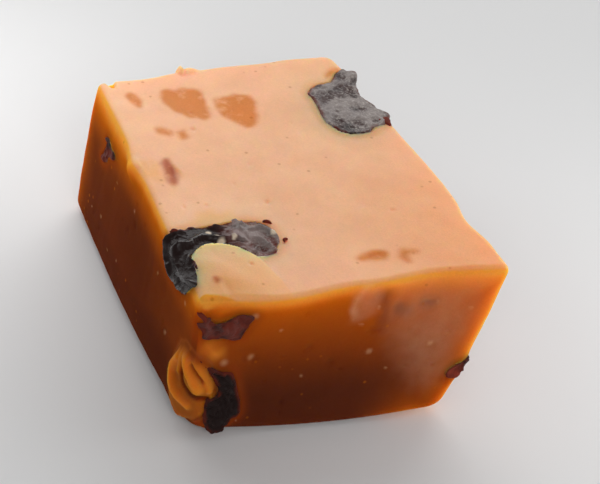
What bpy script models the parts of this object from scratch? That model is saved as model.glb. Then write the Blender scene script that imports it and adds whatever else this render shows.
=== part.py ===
"""Raisin fudge: one hand-cut block of caramel fudge with raisins set into its faces.

Run with: blender --background --python part.py
The block rests on its flat underside at z = 0, centred on the origin, with its front towards -Y.
It is first thought of as a straight box, and `crooked` then carries each point of that box to
the block as the knife left it: wider at the top, undercut on its right and dented by fingers.
Raisins that the knife cut through lie in pockets of its faces, and one bends over an edge.
Sizes below are millimetres, and MM turns them into Blender's metres.
"""

import math

import bmesh
import bpy
from mathutils import Vector, noise

MM = 0.001

# The straight box that the block was meant to be.
WIDTH = 25.0
DEPTH = 31.9
HEIGHT = 13.5
STRAIGHT_SIZE = Vector((WIDTH, DEPTH, HEIGHT))

# Where its corners really are, by (right, back, top): x and y from the middle, then z.
CORNERS = {
    (0, 0, 1): Vector((-12.55, -14.1, HEIGHT)),
    (1, 0, 1): Vector((12.55, -15.3, HEIGHT)),
    (0, 1, 1): Vector((-10.85, 14.15, HEIGHT)),
    (1, 1, 1): Vector((10.9, 15.6, HEIGHT + 0.2)),
    (0, 0, 0): Vector((-12.4, -14.3, 0.0)),
    (1, 0, 0): Vector((8.8, -16.3, 0.0)),
    (0, 1, 0): Vector((-11.35, 15.95, 0.0)),
    (1, 1, 0): Vector((7.6, 15.9, 0.0)),
}

# The knife leaves edges of this radius, and handling wears some corners by this much more.
EDGE_RADIUS = 0.45
FOOT_EDGE_RADIUS = 0.6
CORNER_WEAR = {
    (0, 0, 1): 0.3,
    (1, 0, 1): 0.1,
    (0, 1, 1): 0.0,
    (1, 1, 1): 1.1,
    (0, 0, 0): 2.6,
    (1, 0, 0): 1.7,
    (0, 1, 0): 1.0,
    (1, 1, 0): 1.2,
}

# Swells and dents: middle, push and reach, each as x, y, z on the crooked block.
MARKS = {
    "front_swell": ((-6.0, -14.6, 13.2), (0.0, -0.9, 0.0), (6.5, 5.0, 6.0)),
    "finger_dent": ((6.5, -15.0, 12.6), (0.0, 0.65, 0.0), (6.5, 4.0, 5.0)),
    "right_edge_dent": ((12.0, -9.2, 13.5), (-0.5, 0.0, 0.0), (3.0, 3.0, 3.0)),
    "right_edge_notch": ((11.2, 9.0, 13.5), (-0.9, 0.0, -0.1), (2.5, 2.8, 2.5)),
    "left_edge_swell": ((-11.6, 3.2, 13.0), (-0.35, 0.0, 0.0), (3.0, 3.0, 2.0)),
    "lifted_flap": ((-9.2, -11.2, 13.5), (-0.1, 0.0, 0.45), (4.2, 3.6, 2.0)),
    "left_face_swell": ((-12.4, 1.0, 4.0), (-0.5, 0.0, 0.0), (4.0, 12.0, 6.0)),
    "pushed_up_nub": ((-12.2, -12.0, 3.8), (-0.5, -0.3, 0.0), (2.6, 3.0, 3.2)),
}

# Marks and waves fade out over this height, so that the underside stays flat.
FOOT_FADE = 2.0

# Broad unevenness of the cut faces.
WAVINESS = 0.16
WAVE_LENGTH = 9.0
WAVE_SEED = Vector((3.1, 7.7, 1.9))
# Blender's vector noise is seeded with the time of day, unless it is given a seed.
NOISE_SEED = 1795444272

# Cells of the block's surface along x, y and z, beside the fine rows that round the edges.
CELLS = (17, 22, 9)
EDGE_ROWS = (0.0, 0.5, 1.15)

# Each raisin stands in a pocket of the block, with this gap round it.
POCKET = "_pocket_"
POCKET_GAP = 0.34
# A pocket's cutter reaches this far out of the face, and a raisin's skin stands this far proud
# of it, or lies this far behind it underneath.
POCKET_OPENING = 1.3
PROUD = 0.22
UNDER_RECESS = 0.15
# How far a raisin's skin is creased, and the points round its rim.
WRINKLE = 0.12
CREASES_PER_MM = 0.9
RIM_POINTS = 22
# How far behind the face a raisin is widest.
WIDEST = 0.3

# Cut shapes of raisins in their face, as points round a middle.
CORNER_CHUNK = (
    (3.1, 4.1), (2.3, 4.9), (0.9, 4.6), (-2.5, 2.3), (-2.8, -0.1), (-3.2, -2.5),
    (-2.5, -4.2), (-0.6, -4.6), (1.35, -3.8), (3.2, -2.3), (3.1, 0.0),
)
BOAT = (
    (2.4, 1.0), (1.2, 1.2), (-0.2, 0.6), (-1.3, 1.5), (-2.0, 1.3), (-1.9, 0.2),
    (-1.2, -0.9), (0.9, -1.1), (1.6, -0.2),
)
TALL_HOOK = (
    (0.7, 1.6), (-0.7, 3.6), (-1.9, 3.9), (-1.0, 1.4), (-1.4, -0.4), (-1.5, -2.4),
    (0.3, -2.9), (1.6, -2.0), (1.3, -0.3),
)
BUD = ((1.6, -1.0), (1.2, 0.9), (-1.2, 1.4), (-1.8, 0.3), (-0.4, -1.5), (0.6, -1.6))
SLIVER = ((2.2, 0.2), (1.0, 0.9), (-0.8, 0.7), (-2.1, 0.1), (-1.2, -0.7), (0.9, -0.8))
LEAF = (
    (4.1, -1.6), (2.6, 0.6), (0.4, 1.5), (-2.4, 2.2), (-4.0, 1.3), (-2.9, -0.2),
    (-0.9, -1.4), (1.6, -2.0),
)
FORK = (
    (3.6, 1.2), (1.7, 0.7), (0.2, 1.1), (-1.6, 1.9), (-3.3, 0.9), (-3.0, -0.9),
    (-1.2, -1.0), (0.8, -0.8), (2.2, -1.3), (2.6, 0.1),
)

# name: face, middle along the face, shape, turn in degrees, scale, depth.
CUT_RAISINS = {
    "raisin_back_corner": ("top", (9.2, 8.2), CORNER_CHUNK, 0, 1.0, 2.6),
    "raisin_front_boat": ("front", (-10.4, 10.65), BOAT, 0, 0.86, 1.9),
    "raisin_front_foot": ("front", (-9.9, 3.45), TALL_HOOK, 0, 1.0, 2.2),
    "raisin_left_bud": ("left", (10.8, 9.7), BUD, 0, 1.0, 1.8),
    "raisin_right_edge": ("right", (-14.1, 4.4), SLIVER, 8, 1.0, 1.5),
    "raisin_right_leaf": ("right", (0.6, 7.6), LEAF, 170, 1.0, 2.6),
    "raisin_right_bud": ("right", (10.2, 3.8), BUD, 60, 1.15, 2.0),
    "raisin_back_fork": ("back", (-4.2, 7.4), FORK, 25, 1.1, 2.5),
    "raisin_back_bud": ("back", (6.8, 10.0), BUD, 130, 1.1, 2.0),
    "raisin_back_sliver": ("back", (2.4, 2.9), SLIVER, -20, 1.3, 1.8),
    "raisin_under_leaf": ("under", (-4.6, 6.4), LEAF, 110, 0.9, 2.2),
    "raisin_under_boat": ("under", (4.4, -7.6), BOAT, 75, 1.2, 2.0),
}

# The long raisin that bends over the left edge: one arm lies in the top, one lobe in the left face.
CURL_ARM = (
    (4.1, 1.0), (3.2, 1.9), (1.1, 2.3), (-1.2, 2.0), (-2.9, 2.0), (-4.3, 1.5), (-4.3, -1.4),
    (-3.3, -2.0), (-2.1, -1.1), (-0.3, -1.3), (1.2, -2.0), (2.4, -2.9), (3.9, -2.1),
)
CURL_LOBE = (
    (2.8, 0.9), (2.2, 1.7), (0.0, 1.8), (-3.8, 1.7), (-4.5, 1.0), (-2.0, -1.4), (0.8, -1.9),
    (3.0, -1.6),
)
BENT_RAISIN = "raisin_curl"
BENT_RAISIN_PARTS = (
    ("top", (-8.2, -8.2), CURL_ARM, 0, 1.0, 2.2),
    ("left", (-8.8, 11.6), CURL_LOBE, 0, 1.0, 2.4),
)

FUDGE_COLOUR = (0.46, 0.17, 0.045, 1.0)
FUDGE_ROUGHNESS = 0.42
RAISIN_COLOUR = (0.035, 0.014, 0.012, 1.0)
RAISIN_ROUGHNESS = 0.38


def smooth_step(value):
    """0 below 0, 1 above 1 and an even S between them."""
    value = min(max(value, 0.0), 1.0)
    return value * value * (3.0 - 2.0 * value)


def corner_shares(straight):
    """How much each corner counts at a point of the straight box, by corner."""
    along = [
        straight.x / WIDTH + 0.5,
        straight.y / DEPTH + 0.5,
        straight.z / HEIGHT,
    ]
    shares = {}
    for corner in CORNERS:
        share = 1.0
        for side, part in zip(corner, along):
            share *= part if side else 1.0 - part
        shares[corner] = share
    return shares


def fade_to_foot(z):
    """0 at the flat underside, 1 from FOOT_FADE above it."""
    return smooth_step(z / FOOT_FADE)


def crooked(straight):
    """A point of the straight box, carried to the block as it was cut."""
    shares = corner_shares(straight)
    point = Vector((0.0, 0.0, 0.0))
    for corner, share in shares.items():
        point += CORNERS[corner] * share
    freedom = fade_to_foot(point.z)
    moved = point.copy()
    for middle, push, reach in MARKS.values():
        apart = [(point[axis] - middle[axis]) / reach[axis] for axis in range(3)]
        strength = smooth_step(1.0 - math.sqrt(sum(part * part for part in apart)))
        moved += Vector(push) * strength * freedom
    wave = noise.noise_vector(point / WAVE_LENGTH + WAVE_SEED)
    return moved + wave * WAVINESS * freedom


def edge_radius(straight):
    """The rounding at a point of the straight box."""
    shares = corner_shares(straight)
    radius = EDGE_RADIUS + (FOOT_EDGE_RADIUS - EDGE_RADIUS) * (1.0 - straight.z / HEIGHT)
    for corner, wear in CORNER_WEAR.items():
        radius += wear * max(shares[corner], 0.0) ** 3
    return radius


def rounded(straight):
    """A point on the straight box's skin, moved onto its rounded edges and corners."""
    radius = edge_radius(straight)
    core = Vector(
        (
            min(max(straight.x, radius - WIDTH / 2), WIDTH / 2 - radius),
            min(max(straight.y, radius - DEPTH / 2), DEPTH / 2 - radius),
            min(max(straight.z, radius), HEIGHT - radius),
        )
    )
    return core + (straight - core).normalized() * radius


def stations(length, cells):
    """Places along a side from 0 to its length, closer together by its two edges."""
    inner = length - 2.0 * EDGE_ROWS[-1]
    middle = [EDGE_ROWS[-1] + inner * step / cells for step in range(1, cells)]
    return list(EDGE_ROWS) + middle + [length - row for row in reversed(EDGE_ROWS)]


def box_skin(lines):
    """Points and faces of a box's skin, from the places of its grid lines along x, y and z."""
    found = {}
    points = []
    faces = []

    def number_of(cell):
        if cell not in found:
            found[cell] = len(points)
            points.append(Vector([lines[axis][cell[axis]] for axis in range(3)]))
        return found[cell]

    for axis in range(3):
        first, second = (axis + 1) % 3, (axis + 2) % 3
        last = len(lines[axis]) - 1
        for side in (0, last):
            for i in range(len(lines[first]) - 1):
                for j in range(len(lines[second]) - 1):
                    ring = []
                    for step_i, step_j in ((0, 0), (1, 0), (1, 1), (0, 1)):
                        cell = [0, 0, 0]
                        cell[axis] = side
                        cell[first] = i + step_i
                        cell[second] = j + step_j
                        ring.append(number_of(tuple(cell)))
                    faces.append(ring if side else ring[::-1])
    return points, faces


def mesh_object(name, points, faces, material):
    """A smooth-shaded object from points in millimetres, with its faces turned outwards."""
    shape = bmesh.new()
    corners = [shape.verts.new(point * MM) for point in points]
    for face in faces:
        shape.faces.new([corners[index] for index in face])
    bmesh.ops.recalc_face_normals(shape, faces=shape.faces)
    mesh = bpy.data.meshes.new(name)
    shape.to_mesh(mesh)
    shape.free()
    mesh.shade_smooth()
    mesh.materials.append(material)
    made = bpy.data.objects.new(name, mesh)
    bpy.context.scene.collection.objects.link(made)
    return made


def finish(name, colour, roughness):
    """A Principled material of one colour."""
    material = bpy.data.materials.new(name)
    material.use_nodes = True
    shader = material.node_tree.nodes["Principled BSDF"]
    shader.inputs["Base Color"].default_value = colour
    shader.inputs["Roughness"].default_value = roughness
    shader.inputs["Metallic"].default_value = 0.0
    return material


def make_block(material):
    """The block of fudge, before its pockets are cut."""
    lines = [stations(size, cells) for size, cells in zip(STRAIGHT_SIZE, CELLS)]
    points, faces = box_skin(lines)
    middle = Vector((WIDTH / 2, DEPTH / 2, 0.0))
    points = [crooked(rounded(point - middle)) for point in points]
    return mesh_object("fudge_block", points, faces, material)


def on_face(face, along, out):
    """A point on one face of the straight box, or `out` millimetres outside it."""
    a, b = along
    places = {
        "top": (a, b, HEIGHT + out),
        "under": (a, b, -out),
        "front": (a, -DEPTH / 2 - out, b),
        "back": (a, DEPTH / 2 + out, b),
        "left": (-WIDTH / 2 - out, a, b),
        "right": (WIDTH / 2 + out, a, b),
    }
    return Vector(places[face])


def even_rim(shape, turn, scale):
    """RIM_POINTS points at even angles round a cut shape, turned and scaled."""
    angle = math.radians(turn)
    polar = []
    for x, y in shape:
        polar.append((math.atan2(y, x) % math.tau, math.hypot(x, y) * scale))
    polar.sort()
    last_angle, last_radius = polar[-1]
    first_angle, first_radius = polar[0]
    polar.insert(0, (last_angle - math.tau, last_radius))
    polar.append((first_angle + math.tau, first_radius))
    rim = []
    for step in range(RIM_POINTS):
        wanted = math.tau * step / RIM_POINTS
        for (low, low_radius), (high, high_radius) in zip(polar, polar[1:]):
            if low <= wanted < high:
                share = (wanted - low) / (high - low)
                radius = low_radius + (high_radius - low_radius) * smooth_step(share)
                rim.append((radius, wanted + angle))
                break
    return rim


def raisin_rings(face, depth, gap):
    """(spread, outward place) of the rings of a cut raisin, or with a gap of its pocket."""
    if gap:
        skin = ((1.0, POCKET_OPENING), (1.0, -WIDEST - gap))
    elif face == "under":
        skin = ((0.5, -UNDER_RECESS), (0.96, -UNDER_RECESS), (1.0, -UNDER_RECESS - WIDEST))
    else:
        skin = ((0.5, PROUD), (0.92, PROUD * 0.7), (1.0, -WIDEST))
    return skin + ((0.88, -depth * 0.62 - gap), (0.5, -depth * 0.94 - gap))


def cut_lump(name, face, middle, shape, turn, scale, depth, material, gap=0.0):
    """A raisin that the knife cut through: a flat wrinkled rim, and a round lump behind it.

    With a gap it is the pocket that such a raisin stands in, open to the outside.
    """
    rings = raisin_rings(face, depth, gap)
    rim = even_rim(shape, turn, scale)
    points = [crooked(on_face(face, middle, rings[0][1]))]
    for spread, out in rings:
        for radius, angle in rim:
            reach = spread * radius + gap
            along = (middle[0] + reach * math.cos(angle), middle[1] + reach * math.sin(angle))
            wrinkle = 0.0
            if not gap and face != "under":
                place = Vector((along[0], along[1], out))
                wrinkle = noise.noise(place * CREASES_PER_MM) * WRINKLE
            points.append(crooked(on_face(face, along, out + wrinkle)))
    points.append(crooked(on_face(face, middle, -depth - gap)))
    return mesh_object(name, points, closed_rings(len(rings), RIM_POINTS), material)


def closed_rings(rings, sides):
    """Faces of a lump whose points are a first tip, rings of `sides` points and a last tip."""
    faces = []
    last = 1 + (rings - 1) * sides
    for side in range(sides):
        after = (side + 1) % sides
        faces.append([0, 1 + side, 1 + after])
        for ring in range(rings - 1):
            low = 1 + ring * sides
            high = low + sides
            faces.append([low + side, high + side, high + after, low + after])
        faces.append([last + side, last + sides, last + after])
    return faces


def boolean(target, operation, other):
    """Joins another object to the target or cuts it out, and keeps that object as a helper."""
    change = target.modifiers.new(other.name, "BOOLEAN")
    change.operation = operation
    change.object = other
    other.hide_render = True
    other.display_type = "WIRE"


def make_raisin(block, name, parts, material):
    """One raisin of one or more overlapping lumps, and its pocket in the block."""
    raisin = None
    for number, part in enumerate(parts):
        pocket = cut_lump(f"{name}{POCKET}{number}", *part, material, gap=POCKET_GAP)
        boolean(block, "DIFFERENCE", pocket)
        if raisin is None:
            raisin = cut_lump(name, *part, material)
        else:
            boolean(raisin, "UNION", cut_lump(f"{name}_lobe_{number}", *part, material))


def centre(objects):
    """Hangs all objects on one empty that brings the middle of their box to x = y = 0."""
    solids = [made for made in objects if POCKET not in made.name]
    points = [point.co for made in solids for point in made.data.vertices]
    holder = bpy.data.objects.new("fudge_cube", None)
    for axis in (0, 1):
        places = [point[axis] for point in points]
        holder.location[axis] = -(min(places) + max(places)) / 2.0
    for made in list(objects):
        made.parent = holder
    bpy.context.scene.collection.objects.link(holder)


def main():
    noise.seed_set(NOISE_SEED)
    for old in list(bpy.data.objects):
        bpy.data.objects.remove(old)
    fudge = finish("fudge", FUDGE_COLOUR, FUDGE_ROUGHNESS)
    skin = finish("raisin_skin", RAISIN_COLOUR, RAISIN_ROUGHNESS)
    block = make_block(fudge)
    for name, part in CUT_RAISINS.items():
        make_raisin(block, name, (part,), skin)
    make_raisin(block, BENT_RAISIN, BENT_RAISIN_PARTS, skin)
    centre(bpy.context.scene.objects)


main()
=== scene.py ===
"""Raisin fudge: the looks of one hand-cut block of caramel fudge with raisins in its faces.

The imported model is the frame. Each of its solids is made again here as a finer mesh in the same
place: the block, the raisins that the knife cut through, and the one that bends over an edge.
As in the block's own making, each point is first placed on a straight box, and `crooked` then
carries it to the block as the knife left it. Plain numbers are millimetres, and MM turns them
into Blender's metres.
"""

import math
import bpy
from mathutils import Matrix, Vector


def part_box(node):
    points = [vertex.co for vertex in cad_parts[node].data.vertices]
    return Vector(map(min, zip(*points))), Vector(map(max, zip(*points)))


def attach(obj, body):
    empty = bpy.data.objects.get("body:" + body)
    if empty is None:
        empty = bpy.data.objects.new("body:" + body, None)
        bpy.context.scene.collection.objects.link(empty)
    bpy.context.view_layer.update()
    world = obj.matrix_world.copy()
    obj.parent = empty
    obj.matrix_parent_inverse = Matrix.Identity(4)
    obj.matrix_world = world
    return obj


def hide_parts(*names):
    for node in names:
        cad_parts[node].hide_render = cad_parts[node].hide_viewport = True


bl_info = {
    "name": "Raisin Fudge",
    "version": (1, 0, 0),
    "blender": (4, 5, 0),
    "location": "View3D > Sidebar > Fudge",
    "description": "Builds a hand-cut block of caramel fudge with raisins in its faces",
    "category": "Add Mesh",
}

from collections import namedtuple

import bpy
import numpy as np
from bpy.props import FloatProperty, FloatVectorProperty, PointerProperty
from mathutils import Matrix, Vector, noise

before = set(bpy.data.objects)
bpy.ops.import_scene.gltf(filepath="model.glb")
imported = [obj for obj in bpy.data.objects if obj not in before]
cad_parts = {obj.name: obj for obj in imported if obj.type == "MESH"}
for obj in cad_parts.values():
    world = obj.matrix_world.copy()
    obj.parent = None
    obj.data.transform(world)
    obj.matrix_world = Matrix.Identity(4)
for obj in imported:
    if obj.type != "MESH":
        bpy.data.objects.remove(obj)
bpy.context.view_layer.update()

MM = 0.001
BODY = "root"

# The straight box that the block was meant to be.
WIDTH = 25.0
DEPTH = 31.9
HEIGHT = 13.5
LOW = np.array((-WIDTH / 2, -DEPTH / 2, 0.0))
HIGH = np.array((WIDTH / 2, DEPTH / 2, HEIGHT))

# Where its corners really are, by (right, back, top), and how much each is worn round.
CORNERS = {
    (0, 0, 1): ((-12.55, -14.1, HEIGHT), 0.3),
    (1, 0, 1): ((12.55, -15.3, HEIGHT), 0.1),
    (0, 1, 1): ((-10.85, 14.15, HEIGHT), 0.0),
    (1, 1, 1): ((10.9, 15.6, HEIGHT + 0.2), 1.7),
    (0, 0, 0): ((-12.4, -14.3, 0.0), 2.6),
    (1, 0, 0): ((8.8, -16.3, 0.0), 1.7),
    (0, 1, 0): ((-11.35, 15.95, 0.0), 1.0),
    (1, 1, 0): ((7.6, 15.9, 0.0), 1.2),
}
FOOT_EDGE_RADIUS = 0.6

# Swells and dents: middle, push and reach, each as x, y, z on the crooked block.
MARKS = (
    ((-6.0, -14.6, 13.2), (0.0, -0.9, 0.0), (6.5, 5.0, 6.0)),
    ((6.5, -15.0, 12.6), (0.0, 0.65, 0.0), (6.5, 4.0, 5.0)),
    ((12.0, -9.2, 13.5), (-0.5, 0.0, 0.0), (3.0, 3.0, 3.0)),
    ((11.2, 9.0, 13.5), (-0.9, 0.0, -0.1), (2.5, 2.8, 2.5)),
    ((-11.6, 3.2, 13.0), (-0.35, 0.0, 0.0), (3.0, 3.0, 2.0)),
    ((-9.2, -11.2, 13.5), (-0.1, 0.0, 0.45), (4.2, 3.6, 2.0)),
    ((-12.4, 1.0, 4.0), (-0.5, 0.0, 0.0), (4.0, 12.0, 6.0)),
    ((-12.2, -12.0, 3.8), (-0.5, -0.3, 0.0), (2.6, 3.0, 3.2)),
)
WAVINESS = 0.16
WAVE_LENGTH = 9.0
WAVE_SEED = (3.1, 7.7, 1.9)
# Blender's vector noise is seeded with the time of day, unless it is given a seed.
NOISE_SEED = 1795444272
noise.seed_set(NOISE_SEED)
FOOT_FADE = 2.0

# Finer noises, each as height, length and seed: the faces' waves, and the marks that the knife
# dragged down the sides, which are this much longer than wide.
BROAD_WAVES = ((0.07, 4.2, 1.0), (0.03, 1.5, 2.0))
KNIFE_MARKS = ((0.03, 0.8, 4.0),)
KNIFE_DRAG = (1.0, 1.0, 0.16)

# Grid lines of the block's skin: (end of a zone, spacing in it) along x, y and z.
GRID_ZONES = (
    ((-9.5, 0.1), (-3.0, 0.13), (WIDTH / 2, 0.22)),
    ((-12.0, 0.1), (-5.0, 0.13), (DEPTH / 2, 0.22)),
    ((9.0, 0.12), (HEIGHT, 0.17)),
)
EDGE_ROWS = (0.0, 0.1, 0.2, 0.32)

# Outward directions turn evenly round the box's edges over this distance.
TURN_REACH = 2.6

# Points less than this behind a skin lie on it, and less than ON_FACE from a face's plane on
# that face.
ON_SKIN = 0.05
ON_FACE = 0.3

# face: the axes along it and the axis out of it, and which way is out.
FACES = {
    "top": (0, 1, 2, 1),
    "under": (0, 1, 2, -1),
    "front": (0, 2, 1, -1),
    "back": (0, 2, 1, 1),
    "left": (1, 2, 0, -1),
    "right": (1, 2, 0, 1),
}

# Cut shapes of raisins, as points round a middle in their face.
CORNER_CHUNK = (
    (-2.8, 2.2), (-1.6, 3.1), (0.1, 3.3), (1.3, 4.5), (2.4, 4.7), (3.3, 4.2), (3.2, 1.6),
    (2.6, 0.1), (2.7, -1.3), (3.3, -2.3), (2.4, -3.5), (1.2, -3.7), (0.3, -4.3), (-1.5, -4.2),
    (-2.4, -3.7), (-3.0, -2.1), (-2.9, -0.5), (-2.7, 1.2),
)
BOAT = (
    (-2.2, 0.65), (-1.8, 0.8), (-1.55, 1.3), (-1.25, 1.3), (-1.0, 0.9), (-0.65, 0.7),
    (-0.2, 0.85), (0.5, 1.4), (1.1, 1.6), (2.0, 1.4), (1.95, 0.8), (1.6, -0.4), (1.1, -1.2),
    (0.1, -0.95), (-1.5, -0.85), (-1.8, -0.2),
)
TALL_HOOK = (
    (-2.7, 4.0), (-2.1, 3.55), (-0.8, 2.8), (0.0, 2.65), (0.4, 2.0), (1.05, 0.3), (1.4, -0.7),
    (1.4, -1.7), (0.9, -2.0), (0.4, -2.6), (0.2, -3.2), (-0.9, -3.1), (-1.5, -2.4),
    (-1.8, -1.3), (-1.9, 0.0), (-1.4, 0.4), (-0.9, 0.5), (-0.8, 1.1), (-1.3, 2.0), (-1.9, 2.8),
)
BUD = (
    (1.5, 0.4), (0.6, 1.0), (-0.2, 0.8), (-1.1, 0.7), (-1.9, 0.5), (-1.5, -0.1), (-0.3, -0.6),
    (-0.2, -1.2), (0.8, -1.8), (1.6, -1.6), (1.2, -0.9), (0.9, 0.0),
)
LEAF = (
    (4.1, -1.6), (2.6, 0.6), (0.4, 1.5), (-2.4, 2.2), (-4.0, 1.3), (-2.9, -0.2), (-0.9, -1.4),
    (1.6, -2.0),
)
FORK = (
    (3.6, 1.2), (1.7, 0.7), (0.2, 1.1), (-1.6, 1.9), (-3.3, 0.9), (-3.0, -0.9), (-1.2, -1.0),
    (0.8, -0.8), (2.2, -1.3), (2.6, 0.1),
)
EDGE_SLIVER = (
    (1.5, 0.2), (0.9, 0.75), (-0.3, 0.8), (-1.5, 0.5), (-2.2, 0.05), (-1.3, -0.55),
    (0.2, -0.8), (1.2, -0.5),
)
SLIVER = ((2.2, 0.2), (1.0, 0.9), (-0.8, 0.7), (-2.1, 0.1), (-1.2, -0.7), (0.9, -0.8))

# How a raisin lies in the skin it was cut with: how far it stands out, how dry it is, how
# much red flesh it shows, and how far apart its creases are.
CutRaisin = namedtuple("CutRaisin", "skin middle shape turn scale rise dry flesh crease")

CUT_RAISINS = {
    "raisin_back_corner": CutRaisin("top", (9.2, 7.6), CORNER_CHUNK, 0, 1.0, 0.1, 1.0, 0.1, 2.2),
    "raisin_front_boat": CutRaisin("front", (-10.2, 10.7), BOAT, 0, 1.0, 0.1, 0.1, 0.6, 1.2),
    "raisin_front_foot": CutRaisin("front", (-9.1, 3.9), TALL_HOOK, 0, 1.0, 0.25, 0.0, 0.0, 1.0),
    "raisin_left_bud": CutRaisin("left", (10.0, 10.2), BUD, 0, 1.0, 0.05, 0.0, 0.6, 1.5),
    "raisin_right_edge": CutRaisin(
        "front_right", (0.6, 4.4), EDGE_SLIVER, -25, 0.9, 0.1, 0.0, 1.0, 1.5
    ),
    "raisin_right_leaf": CutRaisin("right", (0.6, 7.6), LEAF, 170, 1.0, 0.1, 0.2, 0.4, 1.8),
    "raisin_right_bud": CutRaisin("right", (10.2, 3.8), BUD, 60, 1.15, 0.12, 0.05, 0.5, 1.8),
    "raisin_back_fork": CutRaisin("back", (-4.2, 7.4), FORK, 25, 1.1, 0.1, 0.15, 0.3, 1.8),
    "raisin_back_bud": CutRaisin("back", (6.8, 10.0), BUD, 130, 1.1, 0.12, 0.1, 0.6, 1.2),
    "raisin_back_sliver": CutRaisin("back", (2.4, 2.9), SLIVER, -20, 1.3, 0.1, 0.1, 0.4, 1.5),
    "raisin_under_leaf": CutRaisin("under", (-4.6, 6.4), LEAF, 110, 0.9, -0.15, 0.1, 0.3, 1.5),
    "raisin_under_boat": CutRaisin("under", (4.4, -7.6), BOAT, 75, 1.2, -0.15, 0.1, 0.3, 1.5),
}
RAISIN_DEPTH = 1.15
POCKET_DEPTH = 1.3
POCKET_WALL = 0.2
# The raisin's rim lies over the pocket's edge by this much, so that no gap shows.
POCKET_OVERLAP = 0.24
POCKET_REACH = 1.8
POCKET_LIP = 0.04
# A painted tint reaches this far round a raisin: redder on the top, for light the dark pocket
# takes, and darker on the sides as shade.
RING_REACH = 1.2
SPOKES = 150
FACE_RINGS = 30
# The lump behind a cut face: shares of the outline's width and of the raisin's depth.
RAISIN_LUMP = ((0.98, 0.5), (0.9, 0.8), (0.7, 0.96), (0.35, 1.0))
# Creases are deeper on a face that stands out, and shallower on a dry one and near the rim.
FULL_WRINKLE = 3.0
DRY_WRINKLE = 0.55
RIM_FLATNESS = 0.7
FLAT_RIM = 0.5
FACE_RISE = 0.04
RIM_DROP = 0.2
LOW_RIM = 0.22
RIM_ROUNDING = 0.22
# Raisins in the side faces are less shiny than those on top.
SIDE_GLOSS = 0.04

# Edges that things bend over: the axis out of the first face and its way, the same for the
# second face, and the axis along the edge. Places there are measured on the skin as if both
# faces lay flat: across the edge, positive on the first face, and along the edge.
EDGES = {
    "top_left": ((2, 1), (0, -1), 1),
    "front_left": ((1, -1), (0, -1), 2),
    "front_right": ((1, -1), (0, 1), 2),
}
FOLD_RADIUS = 0.8

# The long raisin that bends over the left edge: places on its outer and inner side in pairs.
CURL_SKIN = "top_left"
CURL = (
    ((8.5, -8.8), (8.4, -9.6)), ((8.2, -7.2), (7.7, -10.9)), ((7.2, -6.4), (6.5, -11.5)),
    ((5.6, -6.15), (5.5, -11.2)), ((4.4, -6.3), (4.5, -10.2)), ((3.2, -6.4), (3.4, -9.5)),
    ((2.0, -6.45), (2.5, -9.4)), ((0.5, -6.7), (1.9, -9.8)), ((-1.1, -6.6), (1.4, -10.3)),
    ((-2.4, -7.1), (1.15, -10.8)), ((-2.9, -8.4), (1.05, -11.4)), ((-2.85, -9.8), (1.0, -12.0)),
    ((-2.5, -11.2), (0.9, -12.6)), ((-1.8, -12.6), (0.75, -13.2)), ((-0.7, -13.7), (0.3, -14.0)),
)
CURL_STEPS = 300
CURL_SPOKES = 150
# Raggedness of its outer and inner side: how much, and the noise's seed.
CURL_RAGGEDNESS = ((0.13, 46.0), (0.05, 52.0))
# The knife dried it towards the middle of the top: where along x that starts, and its reach.
CURL_DRYING = (-8.6, 2.4)
CURL_DRYNESS = 0.7
CURL_FOLD_DEPTH = 1.9
CURL_LUMPS = 0.16
CURL_GRAIN = 0.05
CURL_RISE = 0.3
CURL_SINK = 0.14
CURL_DEPTH = 1.2
CURL_CAP = 1.0
CURL_FOLD = 1.7
GROOVE_DEPTH = 1.75

# The lip of fudge that was lifted over the long raisin.
FLAP = (
    (-11.6, -10.6), (-11.3, -10.1), (-10.6, -9.4), (-10.0, -9.15), (-9.2, -9.3), (-8.5, -9.6),
    (-7.8, -10.1), (-7.3, -10.7), (-6.8, -11.3), (-6.4, -11.8), (-6.2, -12.5), (-6.0, -13.1),
    (-5.6, -14.6), (-6.2, -16.6), (-12.4, -16.6), (-12.0, -15.1), (-11.95, -14.1),
    (-11.9, -12.9), (-11.75, -11.7),
)
# The first points of its outline are its free rim, which is lifted less by its hinge.
FLAP_RIM_POINTS = 12
FLAP_HINGE = 5.0
FLAP_RISE = 0.3
FLAP_FADE = 2.5
FLAP_DEPTH = 1.2
# Its colour reaches this deep, and it covers the long raisin's groove to this depth.
FLAP_TINT = 0.6
FLAP_TINT_DEPTH = 0.3
FLAP_COVER = 0.8

# The front left corner of the top is sliced off by the plane through these three points.
SLICED_CORNER = ((-11.9, -15.0, 13.5), (-7.4, -15.95, 13.5), (-12.5, -15.95, 12.0))
# How strong a painted glow lies on the cut face, and how deep the side colour and that glow set in.
SLICE_GLOW = 0.8
SLICE_RIM = 0.1
SLICE_FADE = 0.4

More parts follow.
